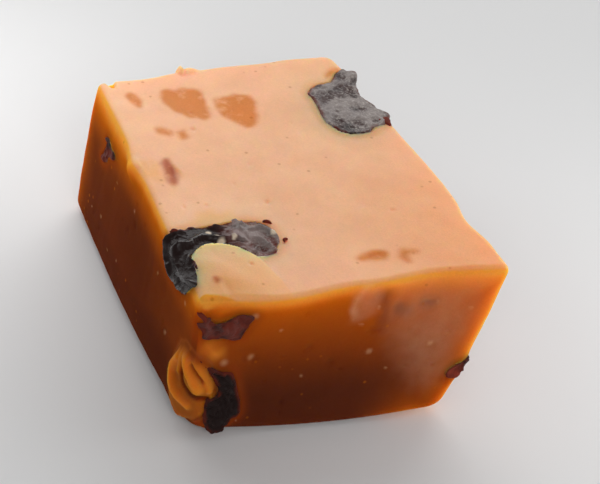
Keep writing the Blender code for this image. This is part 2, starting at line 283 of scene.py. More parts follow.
# Bumps and dents: face, middle, reach along and up, height.
BUMPS = (
    ("left", (3.3, 12.6), (1.6, 1.4), 0.35),
    ("left", (-6.3, 8.6), (2.2, 1.6), 0.18),
    ("front", (-10.9, 8.8), (1.5, 1.5), 0.3),
    ("front", (-8.2, 8.6), (1.6, 1.0), -0.12),
    ("front", (1.6, 11.4), (1.9, 2.6), 0.16),
    ("front", (3.9, 10.6), (0.9, 1.4), -0.2),
    ("front", (6.5, 10.8), (1.1, 0.4), -0.16),
    ("top", (-9.6, 1.0), (0.7, 1.5), -0.2),
    ("top", (2.6, -12.6), (1.4, 0.6), -0.1),
    ("top", (-10.0, -14.6), (0.5, 1.3), -0.07),
    # The torn back edge: a notch by the corner, a long chip and the spike that ends it.
    ("top", (-11.25, 15.8), (0.6, 1.3), -1.0),
    ("top", (-7.6, 16.2), (3.9, 1.0), -0.5),
    ("top", (-4.1, 15.8), (0.5, 0.9), 0.55),
    ("top", (-3.2, 15.9), (1.3, 1.0), 0.35),
    ("right", (-6.0, 5.0), (4.0, 2.5), -0.14),
    ("right", (6.0, 9.0), (2.5, 2.0), 0.16),
    ("back", (0.5, 9.5), (3.5, 2.0), -0.14),
    ("back", (-9.0, 5.0), (2.5, 2.5), 0.16),
)
BUMP_DEPTH = 0.6
# Small pits that air left: face, place, radius.
PITS = (
    ("front", (-2.8, 8.0), 0.3), ("front", (-7.3, 7.5), 0.3), ("front", (-8.1, 7.6), 0.22),
    ("front", (-0.6, 6.4), 0.34), ("front", (-8.8, 4.5), 0.2), ("front", (-4.1, 2.9), 0.24),
    ("front", (2.2, 9.1), 0.3), ("left", (2.0, 7.4), 0.3), ("left", (0.9, 8.7), 0.3),
    ("left", (-9.3, 5.6), 0.25), ("left", (-9.5, 5.9), 0.22), ("top", (-6.1, 6.9), 0.2),
)
PIT_DEPTH = 0.12
RANDOM_PITS = 60
PIT_SIZES = (0.1, 0.2)
SPOT_MARGIN = 0.8
SEED = 20

# Pale crumbs and sugary flecks in the skin: face, place, radius.
FLECKS = (
    ("top", (-9.2, 11.3), 0.3), ("top", (-2.4, 9.2), 0.3), ("top", (-12.1, 3.0), 0.3),
    ("top", (-0.7, -0.4), 0.2), ("top", (-4.3, -4.4), 0.2), ("top", (-3.7, -5.6), 0.25),
    ("top", (-5.3, -0.4), 0.2), ("top", (5.2, -1.4), 0.2), ("top", (-11.4, 12.4), 0.5),
    ("front", (2.6, 7.1), 0.2), ("front", (-7.6, 7.7), 0.22), ("front", (-9.8, 7.5), 0.25),
    ("front", (-11.6, 11.6), 0.2), ("front", (7.9, 7.1), 0.18), ("front", (-8.2, 12.1), 0.2),
    ("left", (-9.2, 5.5), 0.16), ("left", (-13.0, 11.2), 0.16), ("left", (1.6, 9.7), 0.14),
)
RANDOM_FLECKS = 40
FLECK_SIZES = (0.06, 0.14)

# The nub of fudge pushed up round the front left corner. Its places are measured round that
# corner: across is negative on the left face and positive on the front.
NUB_MIDDLE = (-0.7, 4.9)
NUB_REACH = (3.2, 3.6)
NUB_BASE = 0.2
NUB_STEEPNESS = 5.0
NUB_RAGGEDNESS = ((0.05, 0.9, 6.0),)
NUB_LUMPS = ((0.1, 0.8, 7.0), (0.05, 0.4, 8.0))
MOAT_DEPTH = 0.08
# Its ridges and grooves: line, height, half width.
NUB_RIDGES = (
    (((-2.1, 6.9), (-2.7, 5.7), (-2.5, 4.9), (-1.8, 4.3), (-0.9, 4.0), (0.1, 3.6)), 0.5, 0.42),
    (((-0.8, 7.7), (-0.3, 7.0), (0.2, 6.4), (0.7, 5.8), (0.9, 5.5)), 0.62, 0.6),
    (((0.2, 8.1), (0.9, 7.2), (1.4, 6.3), (1.8, 5.3)), 0.36, 0.36),
    (((-1.6, 7.5), (-1.7, 6.5), (-1.6, 6.0)), 0.34, 0.34),
)
NUB_GROOVES = (
    (((-1.2, 6.8), (-1.3, 5.7), (-0.3, 5.0), (0.5, 4.6), (1.7, 4.3)), 0.34, 0.2),
    (((0.1, 7.6), (0.7, 6.9), (1.2, 6.2)), 0.2, 0.14),
)

# Patches of other colour: attribute, face, how far the rim blends, outline.
PATCHES = (
    ("amber", "top", 0.35, (
        (-6.75, 13.2), (-5.6, 13.1), (-4.3, 13.0), (-3.4, 12.3), (-3.6, 9.6), (-3.6, 8.8),
        (-4.2, 8.2), (-5.1, 8.4), (-6.2, 9.0), (-7.4, 10.9), (-7.4, 12.0),
    )),
    ("amber", "top", 0.35, (
        (-2.4, 11.0), (0.0, 10.9), (0.8, 10.4), (0.95, 9.4), (0.5, 7.9), (-0.3, 6.4), (-0.9, 6.1),
        (-1.5, 6.5), (-2.6, 8.0), (-2.8, 9.7),
    )),
    ("amber", "top", 0.3, (
        (-10.6, 13.3), (-10.0, 13.5), (-9.4, 12.8), (-9.2, 12.0), (-9.8, 11.3), (-10.5, 12.6),
    )),
    ("amber", "top", 0.5, ((-9.5, 7.8), (-8.8, 7.6), (-8.1, 7.0), (-8.5, 6.4), (-9.2, 7.0))),
    ("amber", "top", 0.5, ((-7.7, 6.8), (-7.0, 6.9), (-6.8, 6.1), (-7.5, 5.8))),
    ("amber", "top", 0.4, (
        (1.1, -12.5), (2.4, -11.9), (3.5, -12.0), (3.6, -12.6), (2.9, -13.2), (1.2, -13.0),
    )),
    ("amber", "top", 0.5, ((9.3, 11.6), (9.9, 12.6), (11.2, 12.7), (10.4, 11.9))),
    ("bruise", "top", 0.4, (
        (-9.9, 3.3), (-9.5, 2.9), (-9.4, 1.6), (-9.6, -0.1), (-10.2, -0.5), (-10.5, 0.5),
        (-10.3, 2.5),
    )),
    ("amber", "top", 0.7, ((4.4, -12.9), (5.0, -12.2), (6.0, -12.6), (5.2, -13.0), (4.8, -14.0))),
    ("bruise", "top", 0.3, ((-10.6, -13.5), (-10.4, -13.8), (-10.6, -14.0))),
    ("bruise", "front", 1.1, ((3.3, 11.0), (4.2, 11.0), (5.2, 10.7), (5.0, 10.0), (3.9, 10.2))),
    ("bruise", "front", 0.9, ((5.7, 10.8), (6.1, 11.2), (7.2, 10.9), (6.7, 10.4))),
    ("bruise", "front", 1.3, (
        (1.7, 12.4), (2.7, 12.4), (3.4, 10.6), (3.3, 9.0), (2.7, 9.0), (2.2, 10.6),
    )),
    ("stain", "top", 0.7, (
        (-12.4, 3.3), (-11.6, 3.5), (-10.7, 2.9), (-10.6, 1.5), (-11.1, 0.2), (-11.9, 0.8),
        (-12.4, 2.0),
    )),
    ("stain", "top", 1.2, (
        (-9.9, -5.2), (-8.7, -4.5), (-7.1, -4.9), (-6.7, -5.8), (-7.6, -6.5), (-10.0, -6.4),
    )),
    # Painted greyish sheen where the front was scuffed; the coat is raised there too.
    ("painted_sheen", "front", 3.4, (
        (4.0, 12.2), (9.6, 12.2), (10.6, 11.4), (10.2, 6.0), (9.4, 3.6), (7.6, 4.4), (5.6, 6.4),
        (4.0, 9.4),
    )),
    ("painted_sheen", "front", 0.9, (
        (-0.1, 12.9), (0.8, 13.3), (2.0, 12.8), (1.9, 11.0), (1.0, 10.2), (0.2, 10.5),
    )),
    ("nub", "front", 1.4, ((-11.5, 9.5), (-10.6, 9.2), (-10.2, 8.6), (-10.4, 8.1), (-11.2, 8.4))),
    ("fleck", "front", 0.3, (
        (0.8, 13.5), (0.2, 12.9), (-0.1, 12.0), (0.0, 10.8), (0.3, 10.3), (0.3, 10.9), (0.2, 12.0),
        (0.5, 12.8), (1.0, 13.3),
    )),
)
PATCH_BLEND = 0.4
PATCH_RAGGEDNESS = ((0.25, 0.9, 9.0),)

# Bits of raisin skin that lie apart: face, place, length, width, turn.
SKIN_BITS = (
    ("front_left", (0.35, 11.95), 1.3, 0.5, -38),
    ("top", (11.5, 4.5), 1.3, 0.9, -50),
    ("top", (-3.7, -9.5), 0.5, 0.3, 40),
    ("top", (-4.3, -6.9), 0.8, 0.3, -30),
    ("top", (-11.9, -6.7), 0.8, 0.35, -15),
    ("back", (-8.8, 10.8), 0.7, 0.3, 20),
    ("right", (5.4, 9.4), 0.8, 0.25, -35),
)
# Half the bits' thickness, and how high their middles lie.
BIT_THICKNESS = 0.16
BIT_RISE = 0.04
# White crumbs stuck to the bent raisin: places across and along its edge, and radius.
CRUMBS = (
    ((3.25, -7.3), 0.2), ((3.9, -8.7), 0.26), ((4.9, -8.7), 0.16), ((3.7, -7.9), 0.14),
    ((8.1, -8.6), 0.22),
)

# The top's pale colour, which is partly painted light and painted sheen, turns down over the edges.
# Changes of colour over the faces are given as where they start and how far they reach, some of
# them along x or y.
LIT_TOP_TURN = 0.6
SIDE_START = (-0.35, 0.55)
# Painted shade darkens the side faces towards the foot, less so towards the right.
FOOT_SHADE = (1.8, 8.5)
FOOT_SHADE_EASING = 0.4
SHADE_EASING_TO_RIGHT = (2.0, 9.0)
# Painted shade makes the left and right faces darker, by this share of the way to the foot's
# colour.
LEFT_FACE_SHADE = 0.95
LEFT_START = (0.6, 4.0)
LEFT_SHADE_EASING = 0.25
LEFT_TO_FRONT = (2.0, 8.0)
RIGHT_FACE_SHADE = 0.85
RIGHT_START = (0.8, 7.0)
# The top is warmer by its right edge, as a painted glow, and towards its front right corner.
WARM_EDGE_GLOW = 0.1
WARM_GLOW_BAND = 2.2
WARM_CORNER = 0.5
WARM_TO_RIGHT = (-4.0, 16.0)
WARM_TO_FRONT = (-4.0, 18.0)
# A redder painted tint along the top's edges makes up for the light that the fudge loses there.
RIM_TINT = 0.6
RIM_BAND = 0.5
SHEEN = 0.86
SHEEN_FALL = 0.016

# Width of the bands of painted glow along the edges, with what is added to it at the right and at
# the back, and how bright the painted glow is at the upright edges and the foot beside the top's.
GLOW_BAND = 1.1
GLOW_BAND_RIGHT = 1.2
GLOW_BAND_BACK = 0.7
GLOW_TO_RIGHT = (-2.0, 12.0)
GLOW_TO_BACK = (-6.0, 16.0)
BAND_TO_BACK = (0.0, 9.0)
FOOT_TO_RIGHT = (3.0, 7.0)
FOOT_GLOW = 0.8
UPRIGHT_GLOW = 0.7
UPRIGHT_GLOW_RIGHT = 0.25
UPRIGHT_BAND_RIGHT = 0.5
# The right face, which lies in its own shadow, and the upright edges at the back right get less
# painted glow, and the front left corner none.
RIGHT_FACE_GLOW_LOSS = 0.7
BACK_GLOW_LOSS = 0.55
NO_GLOW_CORNER = 4.0

# Where soft noise mostly lies, how rare the specks of the grain are, and how they end.
NOISE_RANGE = (0.3, 0.7)
SPECK_RARITY = (0.78, 0.8)
SPECK_RIM = (0.2, 0.06)
# How far the clouds in the fudge break up each kind of patch: none at low, all of it at high.
PATCH_CLOUDS = {
    "amber": (0.1, 0.5), "stain": (0.2, 0.6), "bruise": (0.1, 0.5), "painted_sheen": (-0.6, 0.9),
}
# Painted glow at which the fudge's edge glow colour turns into its rim glow colour.
RIM_GLOW = (0.3, 1.0)

# Brightness of the room where the camera sees it behind the floor.
BACKDROP = 0.8

# Softboxes on the block: name, way to it, distance, size, radiance.
SOFTBOXES = (
    ("softbox_overhead", (-0.1, -0.2, 1.0), 0.5, 0.3, 0.75),
    ("softbox_front", (-0.35, -1.0, 0.75), 0.5, 0.3, 4.1),
    ("softbox_right", (1.0, 0.15, 0.28), 0.4, 0.3, 1.1),
    ("softbox_near", (1.0, -0.5, 0.35), 0.07, 0.05, 2.2),
    ("softbox_left", (-0.8, 1.1, 0.9), 0.06, 0.04, 2.6),
)
FLOOR_REACH = 2.0
LENS_LENGTH = 124.8
CAMERA_PLACE = (-62.8, -118.1, 106.35)
CAMERA_RIGHT = (0.9134, -0.3798, 0.1461)
CAMERA_UP = (0.1244, 0.6025, 0.7883)
CAMERA_BACK = (-0.3875, -0.7019, 0.5976)


def length_setting(name, description, default, least, most):
    """A length that can be set, in Blender's metres."""
    return FloatProperty(
        name=name, description=description, default=default * MM, min=least * MM, max=most * MM,
        precision=5, unit="LENGTH",
    )


def colour_setting(name, description, default):
    """A colour that can be set."""
    return FloatVectorProperty(
        name=name, description=description, default=default, min=0.0, max=1.0, subtype="COLOR"
    )


def light_setting(name, description, default, most):
    """A brightness that can be set."""
    return FloatProperty(name=name, description=description, default=default, min=0.0, max=most)


class FudgeSettings(bpy.types.PropertyGroup):
    """Sizes and colours of the fudge, the raisins and the stage."""

    edge_radius: length_setting(
        "Edge Radius", "Rounding that the knife leaves along the top edges", 0.6, 0.05, 1.0
    )
    wrinkle_depth: length_setting(
        "Wrinkle Depth", "Depth of the creases in a raisin's skin", 0.32, 0.0, 1.0
    )
    glow_depth: length_setting(
        "Glow Depth", "How far light travels through the fudge", 3.2, 0.0, 20.0
    )
    # The top's pale colour is partly painted light and painted sheen.
    lit_top_colour: colour_setting("Top", "Fudge on the pale top face", (0.92, 0.45, 0.23))
    # Also the colour of the painted glow by the top's right edge.
    warm_colour: colour_setting(
        "Warm Top", "Fudge of the top towards its front right corner", (1.0, 0.36, 0.1)
    )
    # Painted glow: light shining through the side faces' edges and the tops of the side faces.
    edge_glow_colour: colour_setting(
        "Edges", "Fudge of the side faces along their clear edges", (1.0, 0.2, 0.002)
    )
    rim_glow_colour: colour_setting(
        "Rims", "Fudge right at the top of the side faces", (1.0, 0.4, 0.06)
    )
    # The sides' darker colour is painted shade.
    shaded_side_colour: colour_setting("Sides", "Fudge on the browner side faces", (0.38, 0.07, 0.006))
    # Painted shade: the side faces darken towards this colour by their foot.
    foot_shade_colour: colour_setting(
        "Foot", "Fudge by the foot of the side faces", (0.105, 0.022, 0.009)
    )
    flap_colour: colour_setting(
        "Lifted Lip", "Fudge of the lip over the long raisin", (1.0, 0.43, 0.14)
    )
    # Painted tint round raisins: redder on the top, making up for light that the dark pocket takes;
    # darker on the sides as shade.
    ring_light_colour: colour_setting(
        "Raisin Ring", "Fudge of the top close round a raisin", (1.0, 0.31, 0.1)
    )
    side_ring_shade_colour: colour_setting(
        "Side Raisin Ring", "Fudge of a side face close round a raisin", (0.3, 0.045, 0.006)
    )
    # Painted shade: the raisins' pockets and the moat round the nub are darker.
    pocket_shade_colour: colour_setting("Pockets", "Fudge in the raisins' pockets", (0.4, 0.1, 0.02))
    # The nub's colour is laid on more over its ridges as painted highlight, and less in its grooves
    # as painted shade.
    nub_colour: colour_setting("Nub", "Fudge pushed up into a nub", (0.72, 0.21, 0.013))
    amber_colour: colour_setting(
        "Amber Patches", "Clear sugary patches in the top face", (0.73, 0.235, 0.06)
    )
    bruise_colour: colour_setting("Bruises", "Dark bruises in the top", (0.4, 0.04, 0.002))
    side_bruise_colour: colour_setting(
        "Side Bruises", "Dark bruises in the side faces", (0.22, 0.044, 0.012)
    )
    # A greyish sheen on the scuffed front, painted into the colour.
    painted_sheen_colour: colour_setting(
        "Painted Sheen", "Greyish bloom where the front was scuffed", (0.66, 0.3, 0.15)
    )
    stain_colour: colour_setting(
        "Raisin Stain", "Fudge stained by the raisins in it", (0.9, 0.4, 0.13)
    )
    speck_colour: colour_setting("Specks", "Fine dark specks in the fudge", (0.5, 0.12, 0.005))
    fleck_colour: colour_setting("Flecks", "Pale sugary flecks in the fudge", (1.0, 0.6, 0.3))
    raisin_colour: colour_setting("Raisin", "Moist raisin skin", (0.02, 0.011, 0.01))
    raisin_rim_colour: colour_setting(
        "Raisin Rim", "Thin edges of raisin skin that light shines through", (0.13, 0.018, 0.008)
    )
    raisin_flesh_colour: colour_setting(
        "Raisin Flesh", "Red flesh of the raisins that were sliced thin", (0.25, 0.036, 0.02)
    )
    # Dry crests are greyer partly from dryness and partly as painted sheen.
    raisin_dry_sheen_colour: colour_setting(
        "Dry Raisin", "Crests of a raisin's dry cut face", (0.27, 0.23, 0.215)
    )
    chalk_colour: colour_setting(
        "Sugar Chalk", "Sugar grains on a raisin's driest skin", (0.5, 0.45, 0.4)
    )
    crumb_colour: colour_setting(
        "Crumbs", "Crumbs of fudge stuck to the bent raisin", (0.8, 0.66, 0.5)
    )
    floor_colour: colour_setting("Floor", "The pale studio floor", (0.8, 0.8, 0.8))
    softbox_radiance: light_setting(
        "Softbox", "Brightness of the softbox behind the block", 2.6, 50.0
    )
    world_radiance: light_setting(
        "Room Light", "Brightness of the light from all round", 0.09, 5.0
    )


# Shapes ---------------------------------------------------------------------------------------


def smooth_step(value):
    """0 below 0, 1 above 1 and an even S between them."""
    value = np.clip(value, 0.0, 1.0)
    return value * value * (3.0 - 2.0 * value)


def rise(value, start, reach):
    """0 below `start`, 1 from `reach` beyond it and an even S between them."""
    return smooth_step((value - start) / reach)


def bell(value, width):
    """1 at 0, falling off evenly to both sides over a width."""
    return np.exp(-((value / width) ** 2))


def noise_at(points, length, seed=0.0):
    """Smooth noise from -1 to 1 at each point, with lumps about `length` across."""
    places = np.asarray(points) / length + (seed * 7.3, seed * 3.1, seed * 5.7)
    return np.array([noise.noise(place) for place in places.tolist()])


def layered_noise(points, layers):
    """The sum of noises, each given by its height, length and seed."""
    return sum(height * noise_at(points, length, seed) for height, length, seed in layers)


def creases_at(points, length, seed=0.0):
    """Sharp crests from 0 to 1 at each point, about `length` apart."""
    broad = 1.0 - np.abs(noise_at(points, length, seed)) * 2.0
    fine = 1.0 - np.abs(noise_at(points, length * 0.45, seed + 3.3)) * 2.0
    return np.clip(0.7 * broad + 0.3 * fine, 0.0, 1.0) ** 2


def crooked(straight):
    """Points of the straight box, carried to the block as it was cut."""
    along = (straight - LOW) / (HIGH - LOW)
    point = np.zeros_like(straight)
    for corner, (place, _wear) in CORNERS.items():
        point += corner_share(along, corner)[:, None] * place
    freedom = smooth_step(point[:, 2] / FOOT_FADE)[:, None]
    moved = point.copy()
    for middle, push, reach in MARKS:
        apart = np.linalg.norm((point - middle) / reach, axis=1)
        moved += smooth_step(1.0 - apart)[:, None] * freedom * push
    places = (point / WAVE_LENGTH + WAVE_SEED).tolist()
    waves = np.array([tuple(noise.noise_vector(place)) for place in places])
    return moved + waves * freedom * WAVINESS


def corner_share(along, corner):
    """How much a corner of the box counts at points given by their shares along its sides."""
    share = np.ones(len(along))
    for axis, side in enumerate(corner):
        share = share * (along[:, axis] if side else 1.0 - along[:, axis])
    return share


def rounded(straight, edge_radius):
    """Points on the straight box's skin, moved onto its rounded edges and corners."""
    along = (straight - LOW) / (HIGH - LOW)
    radius = edge_radius + (FOOT_EDGE_RADIUS - edge_radius) * (1.0 - along[:, 2])
    for corner, (_place, wear) in CORNERS.items():
        radius = radius + wear * corner_share(along, corner) ** 3
    radius = radius[:, None]
    core = np.clip(straight, LOW + radius, HIGH - radius)
    out = straight - core
    return core + out / np.linalg.norm(out, axis=1)[:, None] * radius


def outward(straight):
    """The way out of the box at points of its skin, turning evenly round its edges."""
    pull = np.clip(1.0 - (HIGH - straight) / TURN_REACH, 0.0, 1.0)
    pull = pull - np.clip(1.0 - (straight - LOW) / TURN_REACH, 0.0, 1.0)
    return pull / np.linalg.norm(pull, axis=1)[:, None]


def along_skin(points, skin):
    """Where points lie along a face, or along both faces of an edge laid flat, and how far
    behind that skin."""
    if skin in FACES:
        across, up, axis, sign = FACES[skin]
        return points[:, (across, up)], depth_behind(points, axis, sign)
    (first, first_sign), (second, second_sign), along = EDGES[skin]
    behind_first = depth_behind(points, first, first_sign)
    behind_second = depth_behind(points, second, second_sign)
    on_first = behind_first <= behind_second
    across = np.where(on_first, behind_second, -behind_first)
    return np.stack([across, points[:, along]], 1), np.minimum(behind_first, behind_second)


def depth_behind(points, axis, sign):
    """How far points are behind the face of the straight box that looks along an axis."""
    return HIGH[axis] - points[:, axis] if sign > 0 else points[:, axis] - LOW[axis]


def on_skin(skin, places, out):
    """Points at places along a face or an edge's two faces, and `out` outside that skin."""
    points = np.zeros((len(places), 3))
    out = np.asarray(out, float) * np.ones(len(places))
    if skin in FACES:
        across, up, axis, sign = FACES[skin]
        points[:, (across, up)] = places
        points[:, axis] = (HIGH if sign > 0 else LOW)[axis] + sign * out
        return points
    (first, first_sign), (second, second_sign), along = EDGES[skin]
    across = places[:, 0]
    lean = np.clip((1.0 - across / FOLD_RADIUS) * math.pi / 4.0, 0.0, math.pi / 2.0)
    behind_first = FOLD_RADIUS - (FOLD_RADIUS + out) * np.cos(lean)
    behind_second = FOLD_RADIUS - (FOLD_RADIUS + out) * np.sin(lean)
    behind_second += np.maximum(across - FOLD_RADIUS, 0.0)
    behind_first += np.maximum(-across - FOLD_RADIUS, 0.0)
    points[:, first] = (HIGH if first_sign > 0 else LOW)[first] - first_sign * behind_first
    points[:, second] = (HIGH if second_sign > 0 else LOW)[second] - second_sign * behind_second
    points[:, along] = places[:, 1]
    return points


def faces_outwards(skin):
    """Whether a skin's two directions turn the same way round as its way out."""
    if skin in FACES:
        return (FACES[skin][2] != 1) == (FACES[skin][3] > 0)
    (first, first_sign), (second, second_sign), along = EDGES[skin]
    across = [0, 0, 0]
    across[second] = -second_sign
    up = [0, 0, 0]
    up[along] = 1
    return np.cross(across, up)[first] * first_sign > 0


def smooth_line(corners, steps, closed):
    """Points of a smooth line through corners, `steps` of them from each corner to the next."""
    corners = np.array(corners, float)
    if closed:
        padded = np.concatenate([corners[-1:], corners, corners[:2]])
    else:
        first, last = 2 * corners[:1] - corners[1:2], 2 * corners[-1:] - corners[-2:-1]
        padded = np.concatenate([first, corners, last])
    part = np.linspace(0.0, 1.0, steps, endpoint=False)[:, None]
    line = []
    for p0, p1, p2, p3 in zip(padded, padded[1:], padded[2:], padded[3:]):
        bend = part**2 * (p0 - 2.5 * p1 + 2.0 * p2 - 0.5 * p3)
        bend = bend + 0.5 * part**3 * (3.0 * (p1 - p2) + p3 - p0)
        line.append(p1 + 0.5 * part * (p2 - p0) + bend)
    return np.concatenate(line + [corners[:1] if closed else corners[-1:]])


def even_points(line, count, closed=False):
    """`count` points at even distances along a line."""
    reached = line_lengths(line)
    wanted = np.linspace(0.0, reached[-1], count, endpoint=not closed)
    return np.stack([np.interp(wanted, reached, column) for column in line.T], 1)


def line_lengths(line):
    """How far along a line each of its points is."""
    return np.concatenate([[0.0], np.cumsum(np.linalg.norm(np.diff(line, axis=0), axis=1))])


def even_outline(shape, count, middle=(0.0, 0.0), turn=0.0, scale=1.0):
    """`count` points evenly along a smooth closed line through a shape's points."""
    line = even_points(smooth_line(shape, 12, closed=True), count, closed=True) * scale
    angle = math.radians(turn)
    turned = line @ np.array(
        ((math.cos(angle), math.sin(angle)), (-math.sin(angle), math.cos(angle)))
    )
    return turned + middle


def edge_distance(places, outline):
    """How far places are from a closed outline, negative inside it."""
    nearest = np.full(len(places), np.inf)
    inside = np.zeros(len(places), bool)
    for start, end in zip(outline, np.roll(outline, -1, axis=0)):
        side = end - start
        share = np.clip((places - start) @ side / (side @ side), 0.0, 1.0)
        gap = places - start - share[:, None] * side
        nearest = np.minimum(nearest, (gap**2).sum(axis=1))
        rising = side[1] if side[1] else 1e-9
        meets = start[0] + (places[:, 1] - start[1]) * side[0] / rising
        crosses = (start[1] > places[:, 1]) != (end[1] > places[:, 1])
        inside ^= crosses & (places[:, 0] < meets)
    return np.where(inside, -1.0, 1.0) * np.sqrt(nearest)


def skin_distance(points, skin, outline, reach):
    """edge_distance on a skin for the points close to that skin and outline, `reach` beyond."""
    places, behind = along_skin(points, skin)
    low, high = outline.min(axis=0) - reach, outline.max(axis=0) + reach
    near = (behind < reach) & (places > low).all(axis=1) & (places < high).all(axis=1)
    distance = np.full(len(points), reach * 1.0)
    distance[near] = edge_distance(places[near], outline)
    return distance, near, behind


def grid_lines(low, high, zones):
    """Places of grid lines from low to high: rows by both ends, and each zone's spacing."""
    start = low + EDGE_ROWS[-1]
    stop = high - EDGE_ROWS[-1]
    lines = [low + row for row in EDGE_ROWS[:-1]]
    for end, spacing in zones:
        end = min(end, stop)
        count = max(round((end - start) / spacing), 1)
        lines += list(np.linspace(start, end, count, endpoint=False))
        start = end
    return np.array(lines + [stop] + [high - row for row in reversed(EDGE_ROWS[:-1])])


def box_skin(lines):
    """Points and quads of a box's skin, from the places of its grid lines along x, y and z."""
    counts = [len(line) for line in lines]
    quads = []
    for axis in range(3):
        first, second = (axis + 1) % 3, (axis + 2) % 3
        across, up = np.indices((counts[first] - 1, counts[second] - 1)).reshape(2, -1)
        for side in (0, counts[axis] - 1):
            ring = []
            for step_across, step_up in ((0, 0), (1, 0), (1, 1), (0, 1)):
                cell = [None, None, None]
                cell[axis] = np.full(across.size, side)
                cell[first] = across + step_across
                cell[second] = up + step_up
                ring.append(np.ravel_multi_index(cell, counts))
            quads.append(np.stack(ring if side else ring[::-1], 1))
    used, quads = np.unique(np.concatenate(quads), return_inverse=True)
    cells = np.unravel_index(used, counts)
    points = np.stack([line[cell] for line, cell in zip(lines, cells)], 1)
    return points, quads.reshape(-1, 4)


def ring_faces(rings, sides):
    """Faces of a closed lump: a first tip, rings of `sides` points, and a last tip."""
    turn = np.arange(sides)
    after = (turn + 1) % sides
    last = 1 + (rings - 1) * sides
    faces = [(0, 1 + b, 1 + a) for a, b in zip(turn.tolist(), after.tolist())]
    for ring in range(rings - 1):
        low = 1 + ring * sides
        high = low + sides
        quads = np.stack((low + turn, low + after, high + after, high + turn), 1)
        faces += [tuple(quad) for quad in quads.tolist()]
    tip = last + sides
    faces += [(last + a, last + b, tip) for a, b in zip(turn.tolist(), after.tolist())]
    return faces


def curl_sides(count):
    """Even points of the bent raisin's outer and inner side."""
    pairs = smooth_line([(*outer, *inner) for outer, inner in CURL], 20, closed=False)
    middle = (pairs[:, :2] + pairs[:, 2:]) / 2.0
    reached = line_lengths(middle)
    wanted = np.linspace(0.0, reached[-1], count)
    pairs = np.stack([np.interp(wanted, reached, column) for column in pairs.T], 1)
    return pairs[:, :2], pairs[:, 2:], wanted


def mesh_piece(name, straight, faces, material, masks=None):
    """A smooth mesh from points of the straight box, with a value for each of its masks."""
    points = (crooked(straight) + CENTRING) * MM
    mesh = bpy.data.meshes.new(name)
    mesh.from_pydata(points.tolist(), [], faces)
    mesh.update()
    mesh.shade_smooth()
    for mask, values in (masks or {}).items():
        layer = mesh.attributes.new(mask, "FLOAT", "POINT")
        layer.data.foreach_set("value", np.asarray(values, np.float32))
    mesh.materials.append(material)
    piece = bpy.data.objects.new(name, mesh)
    bpy.context.scene.collection.objects.link(piece)
    return piece


def place_piece(piece, slot, *nodes):
    """The piece rides on the one body and stands for nodes, whose parts it hides; its slot is not
    used.
    """
    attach(piece, BODY)
    if nodes:
        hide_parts(*nodes)


# The block ------------------------------------------------------------------------------------


def raisin_outline(raisin, count=SPOKES):
    """The cut outline of a raisin in its skin."""
    return even_outline(raisin.shape, count, raisin.middle, raisin.turn, raisin.scale)


def add_mask(masks, name, share):
    """Marks points with a share of a mask, where they have less of it."""
    masks[name] = np.maximum(masks[name], share)


def cut_pockets(flat, relief, masks):
    """Sinks a pocket for each cut raisin, marked for painted shade, and marks the fudge round it
    for a painted tint.
    """
    for raisin in CUT_RAISINS.values():
        outline = raisin_outline(raisin, count=70)
        distance, near, behind = skin_distance(flat, raisin.skin, outline, POCKET_REACH)
        fade = smooth_step((POCKET_REACH - behind) / (POCKET_REACH * 0.6)) * near
        hole = smooth_step(0.5 - (distance + POCKET_OVERLAP) / POCKET_WALL) * fade
        relief -= POCKET_DEPTH * hole - POCKET_LIP * (bell(distance - 0.15, 0.25) * fade)
        add_mask(masks, "pocket", hole)
        add_mask(masks, "ring", smooth_step(1.0 - distance / RING_REACH) * fade)


def cut_groove(flat, relief, masks, lip):
    """Sinks a groove for the bent raisin, but not under the lifted lip of fudge, and marks a
    painted shade and tint there.
    """
    outer, inner, _reached = curl_sides(40)
    outline = np.concatenate([outer, inner[::-1]])
    distance, near, behind = skin_distance(flat, CURL_SKIN, outline, POCKET_REACH)
    on_it = near * (behind < ON_SKIN)
    hole = smooth_step(0.5 - (distance + POCKET_OVERLAP) / POCKET_WALL) * (1.0 - lip) * on_it
    relief -= GROOVE_DEPTH * hole
    add_mask(masks, "pocket", hole)
    add_mask(masks, "ring", smooth_step(1.0 - distance / RING_REACH) * (1.0 - lip) * on_it)


def raise_flap(flat, relief, masks):
    """Lifts the lip of fudge over the long raisin. Returns 1 where that lip is."""
    outline = even_outline(FLAP, count=90)
    distance, near, behind = skin_distance(flat, "top", outline, reach=2.0)
    inside = smooth_step(0.5 - distance / POCKET_WALL) * near
    chosen = np.flatnonzero(inside > 0.0)
    rim, strength = flap_rim()
    places, _behind = along_skin(flat[chosen], "top")
    gaps = np.linalg.norm(places[:, None, :] - rim[None], axis=2)
    lifted = (smooth_step(1.0 - gaps / FLAP_FADE) * strength[None]).max(axis=1)
    fade = np.zeros(len(flat))
    fade[chosen] = lifted * inside[chosen] * smooth_step(1.0 - behind[chosen] / FLAP_DEPTH)
    relief += FLAP_RISE * fade
    masks["flap"] = np.maximum(fade, FLAP_TINT * inside * (behind < FLAP_TINT_DEPTH))
    return inside * smooth_step(1.0 - behind / FLAP_COVER)


def flap_rim():
    """Points along the lip's free rim, and how much the lip is lifted at each."""
    corners = np.array(FLAP[:FLAP_RIM_POINTS])
    last = len(corners) - 1.0
    share = np.linspace(0.0, last, 60)
    numbers = np.arange(len(corners))
    line = np.stack([np.interp(share, numbers, corners[:, axis]) for axis in (0, 1)], 1)
    return line, smooth_step((last - share) / FLAP_HINGE)


def from_line(places, corners):
    """How far places are from a smooth line through corners."""
    line = smooth_line(corners, 12, closed=False)
    return np.linalg.norm(places[:, None, :] - line[None], axis=2).min(axis=1)


